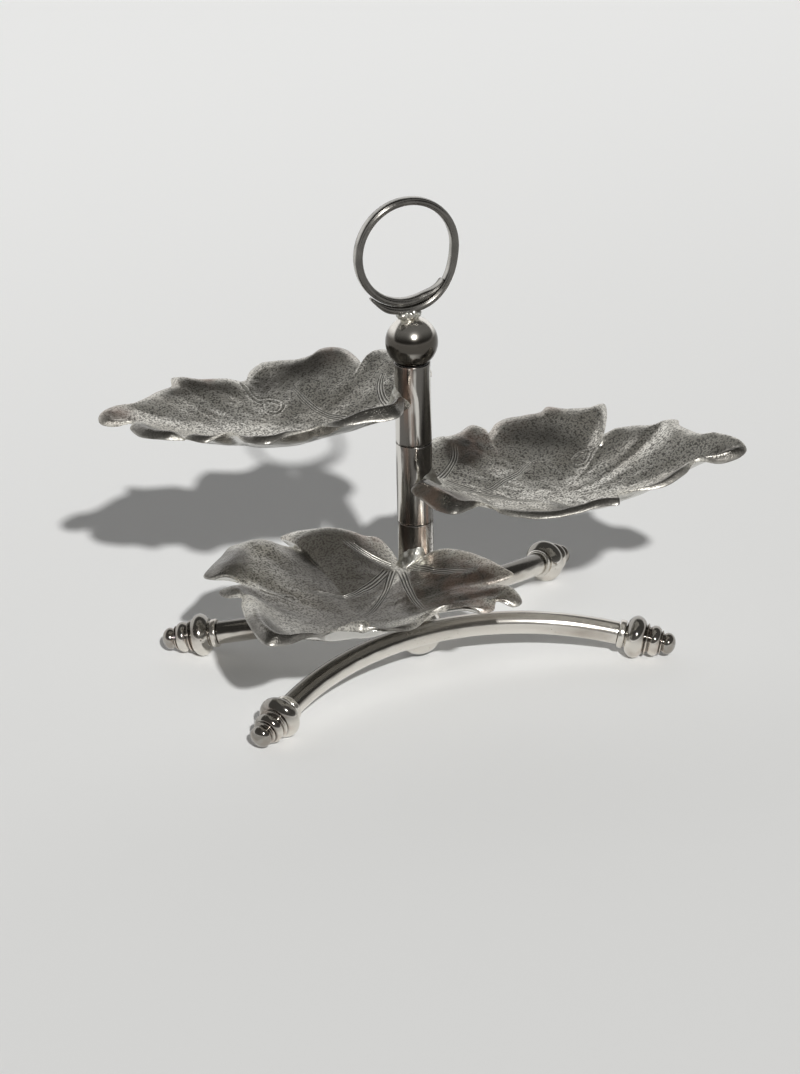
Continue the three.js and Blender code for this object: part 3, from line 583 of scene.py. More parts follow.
# how far the edge climbs the sleeve on one side of the seat, in millimetres
seat_lift = {"upper": 0, "middle": 0, "lower": 9}
leaf_outlines = {
    # x, y, rise of the rolled crest, height of the edge: from one side of the sleeve by the tip,
    # which lies towards +X, to the other side
    "upper": [
        [-8, -19, 0.5, 4], [-12, -33, 2.6, 3.8], [-6, -48, 3.1, 4.8], [12.5, -66, 3.6, 4.8],
        [20, -62, 3.1, 4.3], [25, -53, 0.3, 2.5], [28.5, -63.5, 3.1, 2.3], [36, -74, 4.1, 3.3],
        [46.5, -77, 4.1, 2.3], [56, -69.5, 3.6, 0.8], [71.5, -73.5, 3.6, -2.2], [81.5, -78.5, 3.6, -5.2],
        [88.5, -70.5, 2.6, -7.2], [92, -53.5, 0, -6], [102.5, -57.5, 3.1, -5.7], [119, -54.5, 3.6, -4.2],
        [131.5, -54.5, 3.1, -2.7], [132.5, -47.5, 3.1, -4.7], [139.5, -42, 3.6, -5.2], [151.5, -22, 2, -4],
        [163.5, -16, 2, -3], [170.5, -5.5, 3.5, -3], [169.5, 2.5, 4, -5], [160.5, 5, 3.5, -5],
        [152, 6, 1, -3], [153.5, 12.5, 4.5, -4.5], [147.5, 24.5, 6, -4.5], [134, 32, 5.5, -3.5],
        [125, 31.5, 2, -4], [122.5, 34, 4.5, -2.5], [112.5, 39.5, 5.5, -2.5], [99.5, 33.5, 1, 0],
        [91, 46, 5.5, -0.5], [80, 52.5, 6, 0.5], [70, 46.5, 5, 2], [55, 39.5, 3, 2.5],
        [51, 37.5, 2.5, 3.5], [39.5, 44, 7, 6], [27, 44.5, 10.5, 7.5], [15, 44, 11.5, 8],
        [7.5, 38, 10, 8.5], [5, 17, 5, 8],
    ],
    "middle": [
        [-6, -18, 0.5, 3], [-6, -26, 1, 5], [2, -47, 3.1, 5.3], [8, -49, 3.6, 5.8],
        [14.5, -56, 4.1, 6.3], [19.5, -63.5, 3.6, 7.8], [27.5, -62, 2.6, 6.8], [30.5, -58, 0, 6],
        [33, -68.5, 3.1, 7.3], [38.5, -74.5, 4.1, 8.3], [48, -78.5, 4.1, 9.3], [56.5, -82.5, 4.1, 10.3],
        [61, -84.5, 3.6, 12.8], [74.5, -84, 3.6, 12.8], [85, -83, 3.1, 14.3], [92, -88, 3.1, 15.3],
        [95, -79, 2.6, 12.8], [96.5, -61.5, 0.5, 11.5], [97.5, -53, 0, 12], [103.5, -60.5, 3.1, 12.3],
        [112.5, -61, 3.6, 13.8], [126.5, -57.5, 3.6, 16.8], [137, -60, 3.1, 19.3], [140.5, -49.5, 2.6, 19.8],
        [156, -34.5, 2, 22], [166, -32.5, 2.5, 23.5], [175.5, -24.5, 2, 25], [180, -19.5, 4, 22],
        [177, -13, 6.5, 20], [167, -7.5, 6.5, 18.5], [156.5, -5.5, 2.5, 19.5], [153, -2.5, 2.5, 18.5],
        [150, 5.5, 5, 16], [141, 15, 5, 13], [129.5, 20, 3.5, 11.5], [116, 22.5, 0.5, 11],
        [118, 33.5, 6, 8], [106.5, 35, 8.5, 6.5], [98, 37.5, 8.5, 4.5], [89, 41.5, 7, 3],
        [77, 44.5, 5.5, 2], [66, 44.5, 5, 2], [55, 41.5, 4, 2.5], [45.5, 30.5, 0.5, 3],
        [39, 43.5, 6, 5], [32.5, 52.5, 9, 5], [22.5, 49, 11.5, 5.5], [10.5, 37.5, 10, 6],
        [4, 29, 7, 7], [6, 14, 3.5, 6],
    ],
    "lower": [
        [-2.5, -18, 0.5, 2], [-4, -25.5, 1.5, 5.5], [-1.5, -33, 3.6, 6.8], [1.5, -42, 4.1, 9.3],
        [6, -53.5, 4.1, 10.3], [12, -64, 3.6, 9.8], [16.5, -71.5, 3.1, 8.3], [20, -74.5, 2.6, 6.8],
        [21, -70.5, 0.5, 5.5], [24.5, -65, 0, 5], [31, -74, 3.1, 7.3], [39, -81, 3.6, 11.8],
        [45.5, -85.5, 4.1, 12.3], [52.5, -88.5, 4, 12], [63.5, -89, 6, 10], [75.5, -89.5, 8, 8],
        [82.5, -88.5, 7.5, 6.5], [85, -81.5, 4.5, 7.5], [81.5, -71, 2.6, 7.8], [86.5, -58.5, 0.3, 9],
        [95.5, -63.5, 3, 11], [103.5, -67, 5, 11], [107, -61, 4.5, 10.5], [107, -51.5, 3, 12],
        [118, -45, 3, 13], [134, -33, 5, 13], [147, -19.5, 8, 12], [150.5, -11, 8, 11],
        [144, -5, 8, 10], [132, -0.5, 7, 9], [120, 6, 5, 8], [106, 11.5, 2.5, 8],
        [96, 16.5, 0.5, 8], [96, 21.5, 3.5, 4.5], [94, 28, 5.5, 2], [88, 35.5, 5.5, 1],
        [78.5, 39.5, 3.5, 0.5], [67, 39.5, 1, 0], [56.5, 44.5, 3.5, 1], [52, 54, 4.5, 1.5],
        [52.5, 64.5, 4.5, 1], [46.5, 69, 3, 1.5], [38.5, 67.5, 1.5, 3.5], [37, 76.5, 4.5, 1],
        [31.5, 79, 4.5, 2], [26.5, 72.2, 2.5, 5.5], [24, 63, 1, 5.5], [22.5, 54.5, 0.3, 4.5],
        [16.5, 61, 1, 5], [9.7, 64.5, 2, 5.5], [7, 56.5, 2.5, 7], [1.5, 47, 2.5, 7.5],
        [-2, 36.5, 2.5, 7.5], [-3, 26, 2.5, 7.5], [-1.5, 17.5, 1.5, 8],
    ],
}
side_veins = [
    [(15, -7), (26, -3.5), (37, 0), (50, 3), (62, 4), (74, 4)],
    [(15, -3), (22, 2.5), (34.5, 11.5), (42, 18), (49, 25.5), (57, 34)],
    [(14, 3), (16, 12), (17, 24), (15, 36), (12, 46)],
    [(12, -9), (14, -14), (16, -20), (17, -27), (16, -34), (13, -41)],
]
main_veins = {
    "upper": [(12, -6), (20, -7.5), (31, -8.5), (41, -11.5), (49, -18), (55, -26), (60, -33.5),
              (64.5, -41), (67.5, -47)],
    "middle": [(12, -4), (22, -2), (30, -1), (36, -1.5), (41, -6), (47, -14.7), (54, -25.5),
               (58, -32.7), (63, -39)],
    "lower": [(17.6, -8.9), (28.4, -8.4), (40, -9.3), (49.6, -11.8), (56, -17), (61, -24),
              (65, -32), (68, -42)],
}
scrolls = {
    "upper": [(91, -55), (92.7, -50), (90, -45), (87.6, -40), (84, -36.6), (78, -36.7), (72, -32),
              (71, -28), (74, -24), (78.5, -26.5), (80.7, -32.6)],
    "middle": [(95, -54.5), (97.6, -47.6), (96.5, -44), (92.6, -43.7), (87, -43.6), (83, -40),
               (82, -36), (85, -33), (90, -34.4), (91.4, -41.3)],
    "lower": [(86, -58), (88, -52), (87, -46), (83.5, -41), (79, -40), (76.5, -36.5), (79, -33.5),
              (83, -34.5), (84.5, -38.5)],
}
stains = {
    # x, y and radius of each brown-pink patch
    "upper": [(36, -68, 11), (143, -40, 12), (160, -6, 9), (112, -50, 7)],
    "middle": [(42, -70, 10), (62, -80, 9), (26, -44, 14), (17, 44, 15)],
    "lower": [(24, 40, 24), (0, -30, 10), (44, 62, 12), (30, -74, 9)],
}
oxide_and_painted_reflection = {
    # x, y, radius and depth of each dark patch: partly thick dark oxide, partly, on the leaves' far walls,
    # painted dark reflection
    "upper": [(45, -62, 12, 0.4), (62, -58, 14, 0.6), (80, -50, 12, 0.5), (102, -42, 10, 0.45),
              (119, -44, 12, 0.6), (134, -38, 9, 0.6), (162, -8, 11, 0.4), (20, 34, 14, 0.3)],
    "middle": [(21, -34, 10, 1.6), (45, -52, 11, 0.4), (62, -56, 13, 0.55), (80, -48, 11, 0.4),
               (94, -42, 8, 0.3), (118, -46, 12, 0.3), (172, -15, 10, 0.7)],
    "lower": [(18, 44, 34, 1.0), (27, -42, 26, 0.85), (66, -72, 20, 0.3), (108, -52, 16, 0.55),
              (34, -11, 18, 0.55), (56, 12, 24, 0.45), (90, 24, 20, 0.3), (78, -8, 52, 0.6),
              (76, -86, 11, 0.9), (104, -62, 8, 0.6)],
}


def spline(table, position):
    """Smooth curve through the rows of a closed table, read at fractional row numbers: between
    two rows a cubic that matches the slope across each row's neighbours."""
    base = np.floor(position).astype(int)
    t = (position - base)[:, None]
    a, b, c, d = (table[(base + k) % len(table)] for k in (-1, 0, 1, 2))
    return b + 0.5 * t * (c - a + t * (2 * a - 5 * b + 4 * c - d + t * (3 * (b - c) + d - a)))


def leaf_plan(name, seat, around, lift=0):
    """Rim of a leaf at each share of the way round: x, y, crest and edge height, with the middle
    point of the curved ray that runs there from the bowl's centre. Along the sleeve the edge lies
    at seat, and climbs by lift towards the outline's last row."""
    on_sleeve = []
    for degrees, climb in ((-80, 0), (80, 1), (45, 0.85), (0, 0.35), (-45, 0)):
        a = math.radians(degrees)
        on_sleeve.append([SEAT_RADIUS * math.cos(a), SEAT_RADIUS * math.sin(a), 0, seat + climb * lift])
    rows = np.array([on_sleeve[0], *leaf_outlines[name], *on_sleeve[1:]], float)
    step = 2 * math.pi / len(rows)
    offset = np.unwrap(np.arctan2(rows[:, 1], rows[:, 0] - LEAF_CENTRE)) - np.arange(len(rows)) * step
    for _ in range(3):
        offset = sum(np.roll(offset, k) for k in range(-2, 3)) / 5
    position = around * len(rows)
    x, y, crest, edge = spline(rows, position).T
    angle = spline(offset[:, None], position)[:, 0] + position * step
    return x, y, crest, edge, LEAF_CENTRE + RAY_OVAL_X * np.cos(angle), RAY_OVAL_Y * np.sin(angle)


def on_ray(plan, outward):
    """Plan point at each share outward of the curved rays from the bowl's centre to the rim."""
    x, y, _, _, middle_x, middle_y = plan
    inward = 1 - outward
    px = inward**2 * LEAF_CENTRE + 2 * outward * inward * middle_x + outward**2 * x
    return px, 2 * outward * inward * middle_y + outward**2 * y


def beside(x, y, line):
    """Signed distance in millimetres from a curved line, and the share of the way along it."""
    line = np.array(line, float)
    table = np.vstack([line[:1], line, line[-1:]])
    count = 3 * len(line)
    line = spline(table, np.linspace(1, len(table) - 2.001, count))
    nearest, share = np.full(x.shape, 1e3), np.zeros(x.shape)
    for k, ((ax, ay), (bx, by)) in enumerate(zip(line[:-1], line[1:])):
        dx, dy = bx - ax, by - ay
        t = np.clip(((x - ax) * dx + (y - ay) * dy) / (dx * dx + dy * dy), 0, 1)
        away = np.hypot(x - ax - t * dx, y - ay - t * dy)
        closer = away < abs(nearest)
        side = np.where(dx * (y - ay) - dy * (x - ax) < 0, -1.0, 1.0)
        nearest = np.where(closer, away * side, nearest)
        share = np.where(closer, (k + t) / (count - 1), share)
    return nearest, share


def leaf_dish(name, mirror, floor, seat):
    """Closed shell of a leaf in its own plan: the bowl rises along each ray by a power law to a
    crest, blends there into a lip that falls to the rim like a quarter sine wave, a small round
    edge closes the wall and the underside follows the top. Gives the grid and the marks that the
    pewter reads."""
    plan = leaf_plan(name, seat, np.arange(LEAF_SIDES) / LEAF_SIDES, seat_lift[name])
    x, y, crest, edge, middle_x, middle_y = plan
    ray = 2 * np.hypot(x - middle_x, y - middle_y)
    # 1 along the far lobes of the plan, where the lip lies broader and flatter
    shoulder = smooth(-y, 18, 45)
    roll = 1.75 * crest + 1.5 + 5.5 * shoulder
    reach = edge + 1.25 * crest
    shares = np.hanning(2 * REACH_SPREAD + 1)
    shares /= shares.sum()
    even_reach = sum(np.roll(reach, k - REACH_SPREAD) * share for k, share in enumerate(shares))

    def body(outward):
        from_rim = (1 - outward) * ray
        here = even_reach + (reach - even_reach) * smooth(outward, 0.45, 1)
        bowl = floor + (here - floor) * (outward * (1 + 0.1 * shoulder)) ** BOWL_POWER
        rolled = crest * np.sin(np.minimum(from_rim / roll, 1) * math.pi / 2)
        lip = edge + rolled + np.maximum(from_rim - roll, 0) * LIP_SLOPE
        overlap = np.maximum(LIP_BLEND - abs(bowl - lip), 0)
        return np.minimum(bowl, lip) - overlap**2 / (4 * LIP_BLEND)

    inside = np.linspace(0.012, 0.90, 90)[:-1]
    rim = 1 - 0.10 * np.linspace(1, 0, 25) ** 1.5
    top = np.concatenate([inside, rim])[:, None] * np.ones(LEAF_SIDES)
    from_rim = (1 - top) * ray
    near_edge = 1 - np.clip(from_rim / (2 * EDGE_ROUND), 0, 1)
    top_height = body(top) - EDGE_ROUND * (1 - np.sqrt(1 - near_edge**2))
    turned_in = np.minimum(RIM_WALL / ray, 0.2)
    under = (1 - turned_in) * (1 - np.linspace(0, 0.988, 30)[:, None] ** 1.5)
    under_height = body(under) - FLOOR_WALL - (RIM_WALL - FLOOR_WALL) * under**2
    turn = np.linspace(0, math.pi, 8)[1:-1, None]
    lean = (1 - np.cos(turn)) / 2
    cap = 1 - turned_in * lean
    cap_height = top_height[-1] + (under_height[0] - top_height[-1]) * lean - 0.3 * np.sin(turn)
    outward = np.vstack([top, cap, under])
    height = np.vstack([top_height, cap_height, under_height])
    px, py = on_ray(plan, outward)
    from_rim = (1 - outward) * ray
    under_side = np.zeros(outward.shape)
    under_side[len(top):] = smooth(from_rim[len(top):], 0.5, 2.4)

    bundle, strength, breadth = np.full(px.shape, 9.0), np.zeros(px.shape), np.ones(px.shape)
    for line in [*side_veins, main_veins[name]]:
        away, along = beside(px, py, line)
        spacing = 1.75 - 0.55 * along
        closer = abs(away / spacing) < abs(bundle)
        bundle = np.where(closer, away / spacing, bundle)
        fade = smooth(along, 0, 0.04) * (1 - smooth(along, 0.66, 1.0))
        fade = fade * (1 - smooth(abs(away / spacing), 1.8, 2.3))
        strength, breadth = np.where(closer, fade, strength), np.where(closer, spacing, breadth)
    strength = strength * (1 - under_side) * smooth(from_rim, 2, 7) * smooth(from_rim / roll, 0.9, 1.4)
    away, along = beside(px, py, scrolls[name])
    scroll_strength = (1 - smooth(abs(away), 2.6, 4.0)) * (1 - under_side)
    step = 0.35 * (0.5 + 0.5 * np.tanh(away / 0.5)) * np.exp(-((away / 9) ** 2))
    step = step * (1 - smooth(along, 0.25, 0.6))
    relief = -0.35 * strength * np.exp(-((bundle * breadth / 2.4) ** 2))
    cord = 0.22 * np.exp(-((away / 0.7) ** 2))
    trench = 0.2 * np.exp(-(((abs(away) - 1.4) / 0.6) ** 2))
    relief += scroll_strength * (cord - trench)
    relief += step * (1 - under_side) * smooth(from_rim, 0.5, 3)
    grid = np.stack([px, py, height + relief], -1)
    seed = 60 + floor
    bent = ripple(grid * [1, 1, 0], 24, seed) * 0.34 + ripple(grid * [1, 1, 0], 11, seed + 1) * 0.13
    grid[..., 2] += bent * smooth(np.hypot(px, py), 14, 32)
    grid[:len(top), :, 2] += ripple(grid[:len(top)], 5.2, seed + 2) * 0.07 * smooth(from_rim[:len(top)], 0, 3)
    patch = sum(
        np.exp(-(((px - sx) ** 2 + (py - sy) ** 2) / size**2))
        for sx, sy, size in stains[name]
    )
    dark = sum(
        deep * np.exp(-(((px - sx) ** 2 + (py - sy) ** 2) / size**2))
        for sx, sy, size, deep in oxide_and_painted_reflection[name]
    )
    marks = {
        "from_rim": from_rim, "underside": under_side, "bundle": np.clip(bundle, -3, 3),
        "vein": strength, "scroll": np.clip(away, -4, 4), "scroll_strength": scroll_strength,
        "stain": np.clip(patch, 0, 1), "oxide_and_painted_reflection": np.clip(dark, 0, 1),
        "lip": (1 - smooth(from_rim / roll, 0.7, 1.5)) * np.clip((crest - 2.8) / 2.5, 0, 1),
    }
    return grid * [1, mirror, 1], marks


def place_tier(grid, turn, level):
    """Turns a leaf's grid to its direction and lifts it to the middle of its sleeve."""
    c, s = math.cos(math.radians(turn)), math.sin(math.radians(turn))
    turned = grid @ np.array([[c, s, 0], [-s, c, 0], [0, 0, 1]])
    return turned + [0, 0, SLEEVE_BOTTOM + (level + 0.5) * SLEEVE_PITCH]


def pewter_finish():
    """Oxidised pewter. Top: pale grey skin pricked with dark pits, engraved lines whose ridges are painted
    lighter as a painted highlight, brown-pink stains, dark patches that are partly oxide and partly painted
    dark reflection, and a band inside the rim painted lighter as a painted pale reflection. Rim: glossy lips
    painted dark as a painted dark reflection, with a bright worn line at the very edge. Underside: smooth
    bright metal with soft brush marks."""
    finish = Finish("pewter", Metallic=1.0)
    from_rim, underside, stain, lip, oxide_and_painted_reflection = (
        finish.mark(m) for m in ("from_rim", "underside", "stain", "lip", "oxide_and_painted_reflection")
    )
    grain = finish.noise(880, 3)
    fine = finish.noise(2600, 2, shift=2.0)
    cloud = finish.noise(42, 3, shift=5.0)
    pits = grain.step(0.545, 0.40)
    worn = from_rim.step(0.9, 0.2) * finish.noise(70, 2, shift=1.0).step(0.42, 0.62) * (0.35 + lip * 0.65)
    bundle, vein = finish.mark("bundle"), finish.mark("vein")
    lines = finish.math("COSINE", bundle * (2 * math.pi)) * 0.5 + 0.5
    inside = finish.math("ABSOLUTE", bundle).step(1.6, 1.4) * vein
    engraved = (lines ** 1.4) * inside
    ridge = ((1 - lines) ** 1.4) * inside
    scroll, scroll_strength = finish.mark("scroll"), finish.mark("scroll_strength")
    off_scroll = finish.math("ABSOLUTE", scroll)
    cord = off_scroll.step(1.0, 0.2) * scroll_strength
    trench = finish.math("ABSOLUTE", off_scroll - 1.4).step(0.8, 0.1) * scroll_strength

    skin_colour = finish.mix(cloud.step(0.3, 0.7), (0.73, 0.70, 0.63, 1), (0.93, 0.905, 0.835, 1))
    shown_pits = pits * (1 - lip * 0.4) * (1 - inside * 0.8)
    top = finish.mix(shown_pits * 0.86, skin_colour, (0.13, 0.122, 0.11, 1))
    # Painted dark reflection in part: the patches darken the skin, partly as real oxide, partly painted on
    # the far walls where a dark sky would show.
    black = (oxide_and_painted_reflection * 1.3 + (cloud - 0.5) * 0.7).step(0.1, 0.95) * (from_rim.step(5, 13) * 0.8 + 0.2)
    # Painted pale reflection: the top within 8 mm of the rim, fading out by 15 mm and away from the lips, is
    # painted lighter.
    shoulder = from_rim.step(15, 8) * (1 - lip) * (1 - underside)
    top = finish.mix(black * 0.84, top, (0.10, 0.092, 0.081, 1))
    # Painted dark reflection: the rolled lips are painted nearly black.
    top = finish.mix(lip * 0.84, top, (0.115, 0.108, 0.098, 1))
    top = finish.mix(shoulder * (1 - pits * 0.5) * 0.45, top, (0.76, 0.74, 0.68, 1))
    brown = stain * finish.noise(95, 4, shift=8.0).step(0.34, 0.60)
    top = finish.mix(brown * 0.55, top, (0.31, 0.21, 0.165, 1))
    top = finish.mix(engraved * 0.95 + trench * 0.3, top, (0.05, 0.047, 0.042, 1))
    # Painted highlight: the ridges between engraved lines and the scroll's cord are painted lighter.
    top = finish.mix(ridge * 0.42 + cord * 0.16, top, (0.80, 0.785, 0.74, 1))
    smooth_metal = finish.mix(cloud, (0.72, 0.71, 0.68, 1), (0.58, 0.57, 0.54, 1))
    colour = finish.mix(underside, top, smooth_metal)
    colour = finish.mix(worn * 0.5, colour, (0.58, 0.565, 0.53, 1))
    dull = 0.33 - lip * 0.06 + pits * 0.05 + brown * 0.05 + shoulder * 0.06 + from_rim.step(3.5, 0.5) * 0.16
    roughness = dull * (1 - underside) + (fine * 0.10 + 0.18) * underside - worn * 0.05
    finish.set(finish.shader, {"Base Color": colour, "Roughness": roughness})
    pricked = (pits * -0.05 + fine * 0.02 + grain * 0.03) * (1 - lip * 0.3)
    carved = engraved * -0.35 + ridge * 0.09 + cord * 0.08 - trench * 0.08
    hammered = finish.noise(330, 3, shift=3.0)
    top_relief = (pricked + carved + hammered * lip * 0.18) * (1 - underside)
    finish.bump(top_relief + (hammered * 0.10 + fine * 0.006) * underside)
    return finish.material


pewter = pewter_finish()
for name, turn, mirror, floor, seat, level in tiers:
    grid, marks = leaf_dish(name, mirror, floor, seat)
    piece = skin(f"{name}_leaf_dish_cast", place_tier(grid, turn, level), False, marks)
    piece.data.materials.append(pewter)
    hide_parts(f"{name}_leaf_dish")
    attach(piece, f"{name}_tier")

# ---- Solder fillets ------------------------------------------------------------------------
# Soft solder run into the corner between each sleeve and its leaf, piled up against the sleeve in
# the middle and drawn out to a point on the leaf.


def fillet(name, mirror, floor, seat, level):
    """Across the fillet it follows the sleeve, outwards it follows the leaf's floor. Its top falls
    from a hump at the sleeve to the leaf by a hollow curve; its base lies just inside the leaf."""
    slices, reaches = 40, 26
    count = len(leaf_outlines[name]) + 5
    across = np.linspace(-1, 1, slices)
    reach = np.linspace(0, 1, reaches)
    row = np.empty((reaches, slices))
    row[:] = count - 2.0 + 1.62 * across * (1 - 0.92 * reach[:, None] ** 0.8)
    plan = leaf_plan(name, seat, row.ravel() / count, seat_lift[name])
    plan = [values.reshape(row.shape) for values in plan]
    outward = 1 - 0.19 * reach[:, None] * np.ones(slices)
    px, py = on_ray(plan, outward)
    base = floor + (plan[3] - floor) * outward**BOWL_POWER
    pull = np.clip((0.25 - reach[:, None]) / 0.25, 0, 1)
    scale = 1 - pull * (1 - (SLEEVE_RADIUS - 0.15) / SEAT_RADIUS)
    px, py = px * scale, py * scale
    hump = 7.2 * (1 - across**2) ** 0.8 * (1 - reach[:, None]) ** 2.1 + 0.5 * (1 - abs(across) ** 4)
    upper = np.stack([px, py, base + hump], -1)
    upper[..., 2] += 0.22 * ripple(upper, 3.0, 80 + level) * (1 - abs(across) ** 3)
    lower = np.stack([px, py, base - 1.1], -1)
    grid = np.concatenate([upper, lower[:, ::-1]], axis=1)
    return grid * [1, mirror, 1]


for name, turn, mirror, floor, seat, level in tiers:
    grid = place_tier(fillet(name, mirror, floor, seat, level), turn, level)
    piece = skin(f"{name}_solder_fillet_run", grid)
    piece.data.materials.append(solder)
    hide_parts(f"{name}_solder_fillet")
    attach(piece, f"{name}_tier")

# ---- Top ball ------------------------------------------------------------------------------
# A spun and plated ball like the hub's, still nearly a mirror, drilled from below for the rod. Its lower part
# is painted dark as a painted dark reflection, with a pale painted reflection left just below the middle on
# the side facing the camera.

POST_TOP = SLEEVE_BOTTOM + 3 * SLEEVE_PITCH
BALL_RADIUS, BALL_SEAT_RADIUS, BALL_SEAT = 14.3, 8.8, POST_TOP + GAP
BALL_CENTRE = BALL_SEAT + math.sqrt(BALL_RADIUS**2 - BALL_SEAT_RADIUS**2)
BALL_TOP = BALL_CENTRE + BALL_RADIUS
ROD_HOLE_TOP = BALL_SEAT + 14
ball_profile = np.vstack([
    [[0.2, ROD_HOLE_TOP], [ROD_BORE, ROD_HOLE_TOP], [ROD_BORE, BALL_SEAT]],
    [[BALL_SEAT_RADIUS - 0.2, BALL_SEAT]],
    bulge(BALL_CENTRE, BALL_RADIUS, BALL_RADIUS, BALL_SEAT, BALL_TOP - 0.002, 90),
])
grid = spin(ball_profile, 128)
# Painted reflection: the ball is painted dark below a little above its middle, a painted dark reflection,
# with a pale spot facing the camera just below the middle, a painted pale reflection.
painted_pale_reflection = np.exp(-(((np.degrees(np.arctan2(grid[..., 1], grid[..., 0])) + 114) / 14) ** 2))
painted_pale_reflection = painted_pale_reflection * (1 - smooth(abs(grid[..., 2] - BALL_CENTRE + 4.5), 1.5, 3))
painted_dark_reflection = (0.93 - 0.4 * painted_pale_reflection) * (1 - smooth(grid[..., 2], BALL_CENTRE + 4.5, BALL_CENTRE + 9.5))
piece = skin("top_ball_plated", grid, marks={"darkening": painted_dark_reflection})
piece.data.materials.append(ball_plate)
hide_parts("top_ball")
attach(piece, "base")

# ---- Ring handle ---------------------------------------------------------------------------
# A half-round silver bar with filed edges, bent through one and a quarter turns: its thinned start
# laps under its end, and solder fills the wedge between them. Dark all over, rubbed along the edges.

RING_INNER, RING_BAR_HEIGHT, RING_BAR_WIDTH = 26.0, 4.4, 6.2
RING_LAP, RING_LIFT, RING_OFFSET = 4.7, 2.4, -2.0
RING_START, RING_END = -133, 318
RING_CENTRE = BALL_TOP + RING_LIFT + RING_INNER + RING_LAP + RING_BAR_HEIGHT


def lap_at(degrees):
    """How far the bar lies outside the ring's inner circle, in its first stretch."""
    return RING_LAP * (1 - smooth(degrees, -75, -5))


def ring_grid(stations=330, sides=64):
    """Section carried round the ring: a flattened oval with a bead between two filed grooves on
    each flank, thin at the start and squeezed by the lap at the end."""
    inset = 0.045
    swing = np.linspace(inset, math.pi - inset, stations)
    degrees = RING_START + (RING_END - RING_START) * (0.5 - 0.5 * np.cos(swing))
    ends = (0.5 - 0.5 * math.cos(inset)) * (RING_END - RING_START)
    degrees = np.interp(degrees, [RING_START + ends, RING_END - ends], [RING_START, RING_END])
    thin = 0.4 + 0.6 * smooth(degrees, RING_START, RING_START + 25)
    room = np.where(degrees > 180, lap_at(degrees - 360) - GAP, RING_BAR_HEIGHT)
    full = np.minimum(thin * RING_BAR_HEIGHT, room)
    bar = full * (1 - 0.8 * smooth(degrees, 288, RING_END))
    middle = RING_INNER + np.where(degrees < 0, lap_at(degrees), 0) + full - bar / 2
    travel = np.minimum(degrees - RING_START, RING_END - degrees) * math.radians(30)
    end_round = np.sqrt(np.clip(1 - (1 - np.clip(travel / 1.5, 0, 1)) ** 2, 0.02, 1))
    turn = np.linspace(0, 2 * math.pi, sides, endpoint=False)
    cosine, sine = np.cos(turn), np.sin(turn)
    radial = np.sign(cosine) * abs(cosine) ** 0.72
    across = np.sign(sine) * abs(sine) ** 0.72
    groove = 0.30 * np.exp(-(((abs(radial) - 0.52) / 0.16) ** 2)) * (abs(sine) > 0.4)
    across = across * (1 - groove * 0.42)
    radius = middle[:, None] + radial * (bar / 2 * end_round)[:, None]
    width = across * (RING_BAR_WIDTH / 2 * end_round)[:, None]
    angle = np.radians(degrees)[:, None]
    grid = np.stack([RING_OFFSET + radius * np.cos(angle), width, RING_CENTRE + radius * np.sin(angle)], -1)
    edges = abs(radial) ** 6 * np.ones(angle.shape)
    return grid, edges


def ring_finish():
    """Blackened silver, drawn lines along the bar, rubbed to bare metal on its edges."""
    finish = Finish("ring silver", Metallic=1.0)
    cloud = finish.noise(110, 4)
    rubbed = finish.mark("rubbed")
    lines = finish.noise(900, 3, (1, 0.35, 1), shift=3.0)
    dark = finish.mix(cloud, (0.09, 0.086, 0.08, 1), (0.22, 0.21, 0.195, 1))
    colour = finish.mix((rubbed * 0.5 + cloud * 0.5).step(0.45, 0.85), dark, (0.56, 0.545, 0.51, 1))
    finish.set(finish.shader, {"Base Color": colour, "Roughness": cloud * 0.16 + lines * 0.10 + 0.15})
    finish.bump(lines * 0.035 + cloud * 0.05)
    return finish.material


grid, edges = ring_grid()
piece = skin("ring_handle_bent", grid, False, {"rubbed": edges})
piece.data.materials.append(ring_finish())
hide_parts("ring_handle")
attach(piece, "base")

# ---- Ring seat -----------------------------------------------------------------------------
# Soft solder between ring and ball, run out in small lumps on both sides.

seat_grid = lump((RING_OFFSET * 0.6, 0, BALL_TOP + RING_LIFT - 0.6), (7.2, 4.1, 3.6), 31, 0.3)
piece = skin("ring_seat_lump", seat_grid)
piece.data.materials.append(solder)
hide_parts("ring_seat")
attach(piece, "base")

# ---- Floor, light and camera ---------------------------------------------------------------
# A pale floor without an end, one low lamp from the front for the shadow, and a sky that is pale
# near the horizon, higher behind the tray than in front, and dark overhead, for the metal to show.

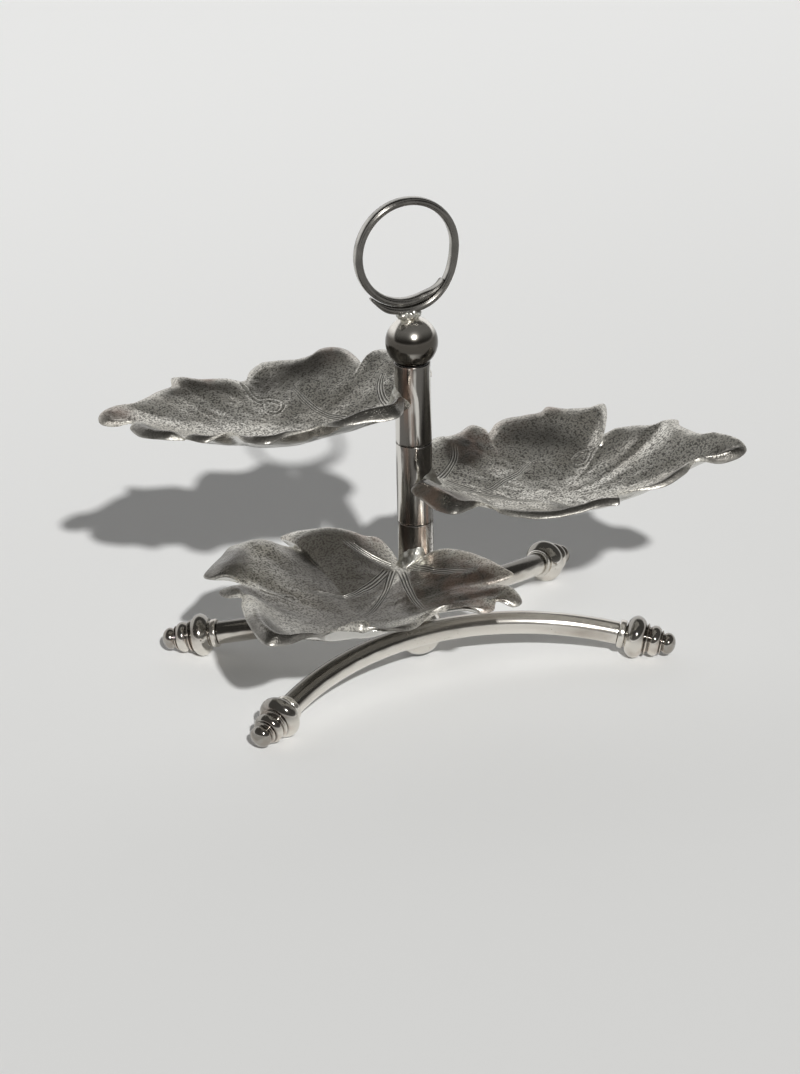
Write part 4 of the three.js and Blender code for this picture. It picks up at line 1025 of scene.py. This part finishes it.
bpy.context.scene.view_settings.view_transform = "Standard"
FLOOR_REACH = 60
floor_corners = [(x * FLOOR_REACH, y * FLOOR_REACH, 0) for x, y in ((-1, -1), (1, -1), (1, 1), (-1, 1))]
floor_mesh = bpy.data.meshes.new("floor")
floor_mesh.from_pydata(floor_corners, [], [(0, 1, 2, 3)])
floor_piece = bpy.data.objects.new("floor", floor_mesh)
bpy.context.scene.collection.objects.link(floor_piece)
paper = Finish("pale paper", Roughness=0.9)
away_from_lamp = paper.add("ShaderNodeSeparateXYZ", {}, {0: paper.add("ShaderNodeTexCoord", {}, {}, 3)}, 1)
# Painted light: the paper is painted lighter towards the back, as if the light were brighter there.
pale_paper = paper.mix(away_from_lamp.step(-0.5, 1.3), (0.775, 0.778, 0.775, 1), (0.95, 0.955, 0.958, 1))
paper.set(paper.shader, {"Base Color": pale_paper, "Specular IOR Level": 0.2})
floor_mesh.materials.append(paper.material)

SUN = Vector((-0.150, -0.784, 0.602))
lamp = bpy.data.lights.new("key", "SUN")
lamp.energy = 3.2
lamp.angle = math.radians(2.0)
lamp.color = (1.0, 0.995, 0.98)
key = bpy.data.objects.new("key", lamp)
key.rotation_euler = SUN.to_track_quat("Z", "Y").to_euler()
bpy.context.scene.collection.objects.link(key)

world = bpy.data.worlds.new("studio")
bpy.context.scene.world = world
sky = Finish("studio", world)
direction = sky.add("ShaderNodeTexCoord", {}, {}, 0)
east, north, height = (sky.add("ShaderNodeSeparateXYZ", {}, {0: direction}, k) for k in range(3))
level_length = (east * east + north * north + 0.0001) ** 0.5
to_back = (east * 0.07 + north * 0.998) / level_length
border = to_back.step(0.05, 0.85) * 0.53 + 0.09
pale = (height - border).step(0.06, -0.05)
sky.set(sky.shader, {"Color": sky.mix(pale, (0.12, 0.118, 0.113, 1), (0.95, 0.95, 0.95, 1)), "Strength": 1.0})

camera_data = bpy.data.cameras.new("camera")
camera_data.lens = 116.49
camera_data.sensor_width = 36
camera_data.clip_end = 200
camera = bpy.data.objects.new("camera", camera_data)
right, up, ahead = (
    Vector((0.909246, -0.415711, -0.021375)),
    Vector((0.189802, 0.36834, 0.91011)),
    Vector((0.370469, 0.831571, -0.413815)),
)
pose = Matrix((right, up, -ahead)).transposed().to_4x4()
pose.translation = Vector((-0.71965, -1.59824, 0.86775))
camera.matrix_world = pose
bpy.context.scene.collection.objects.link(camera)
bpy.context.scene.camera = camera
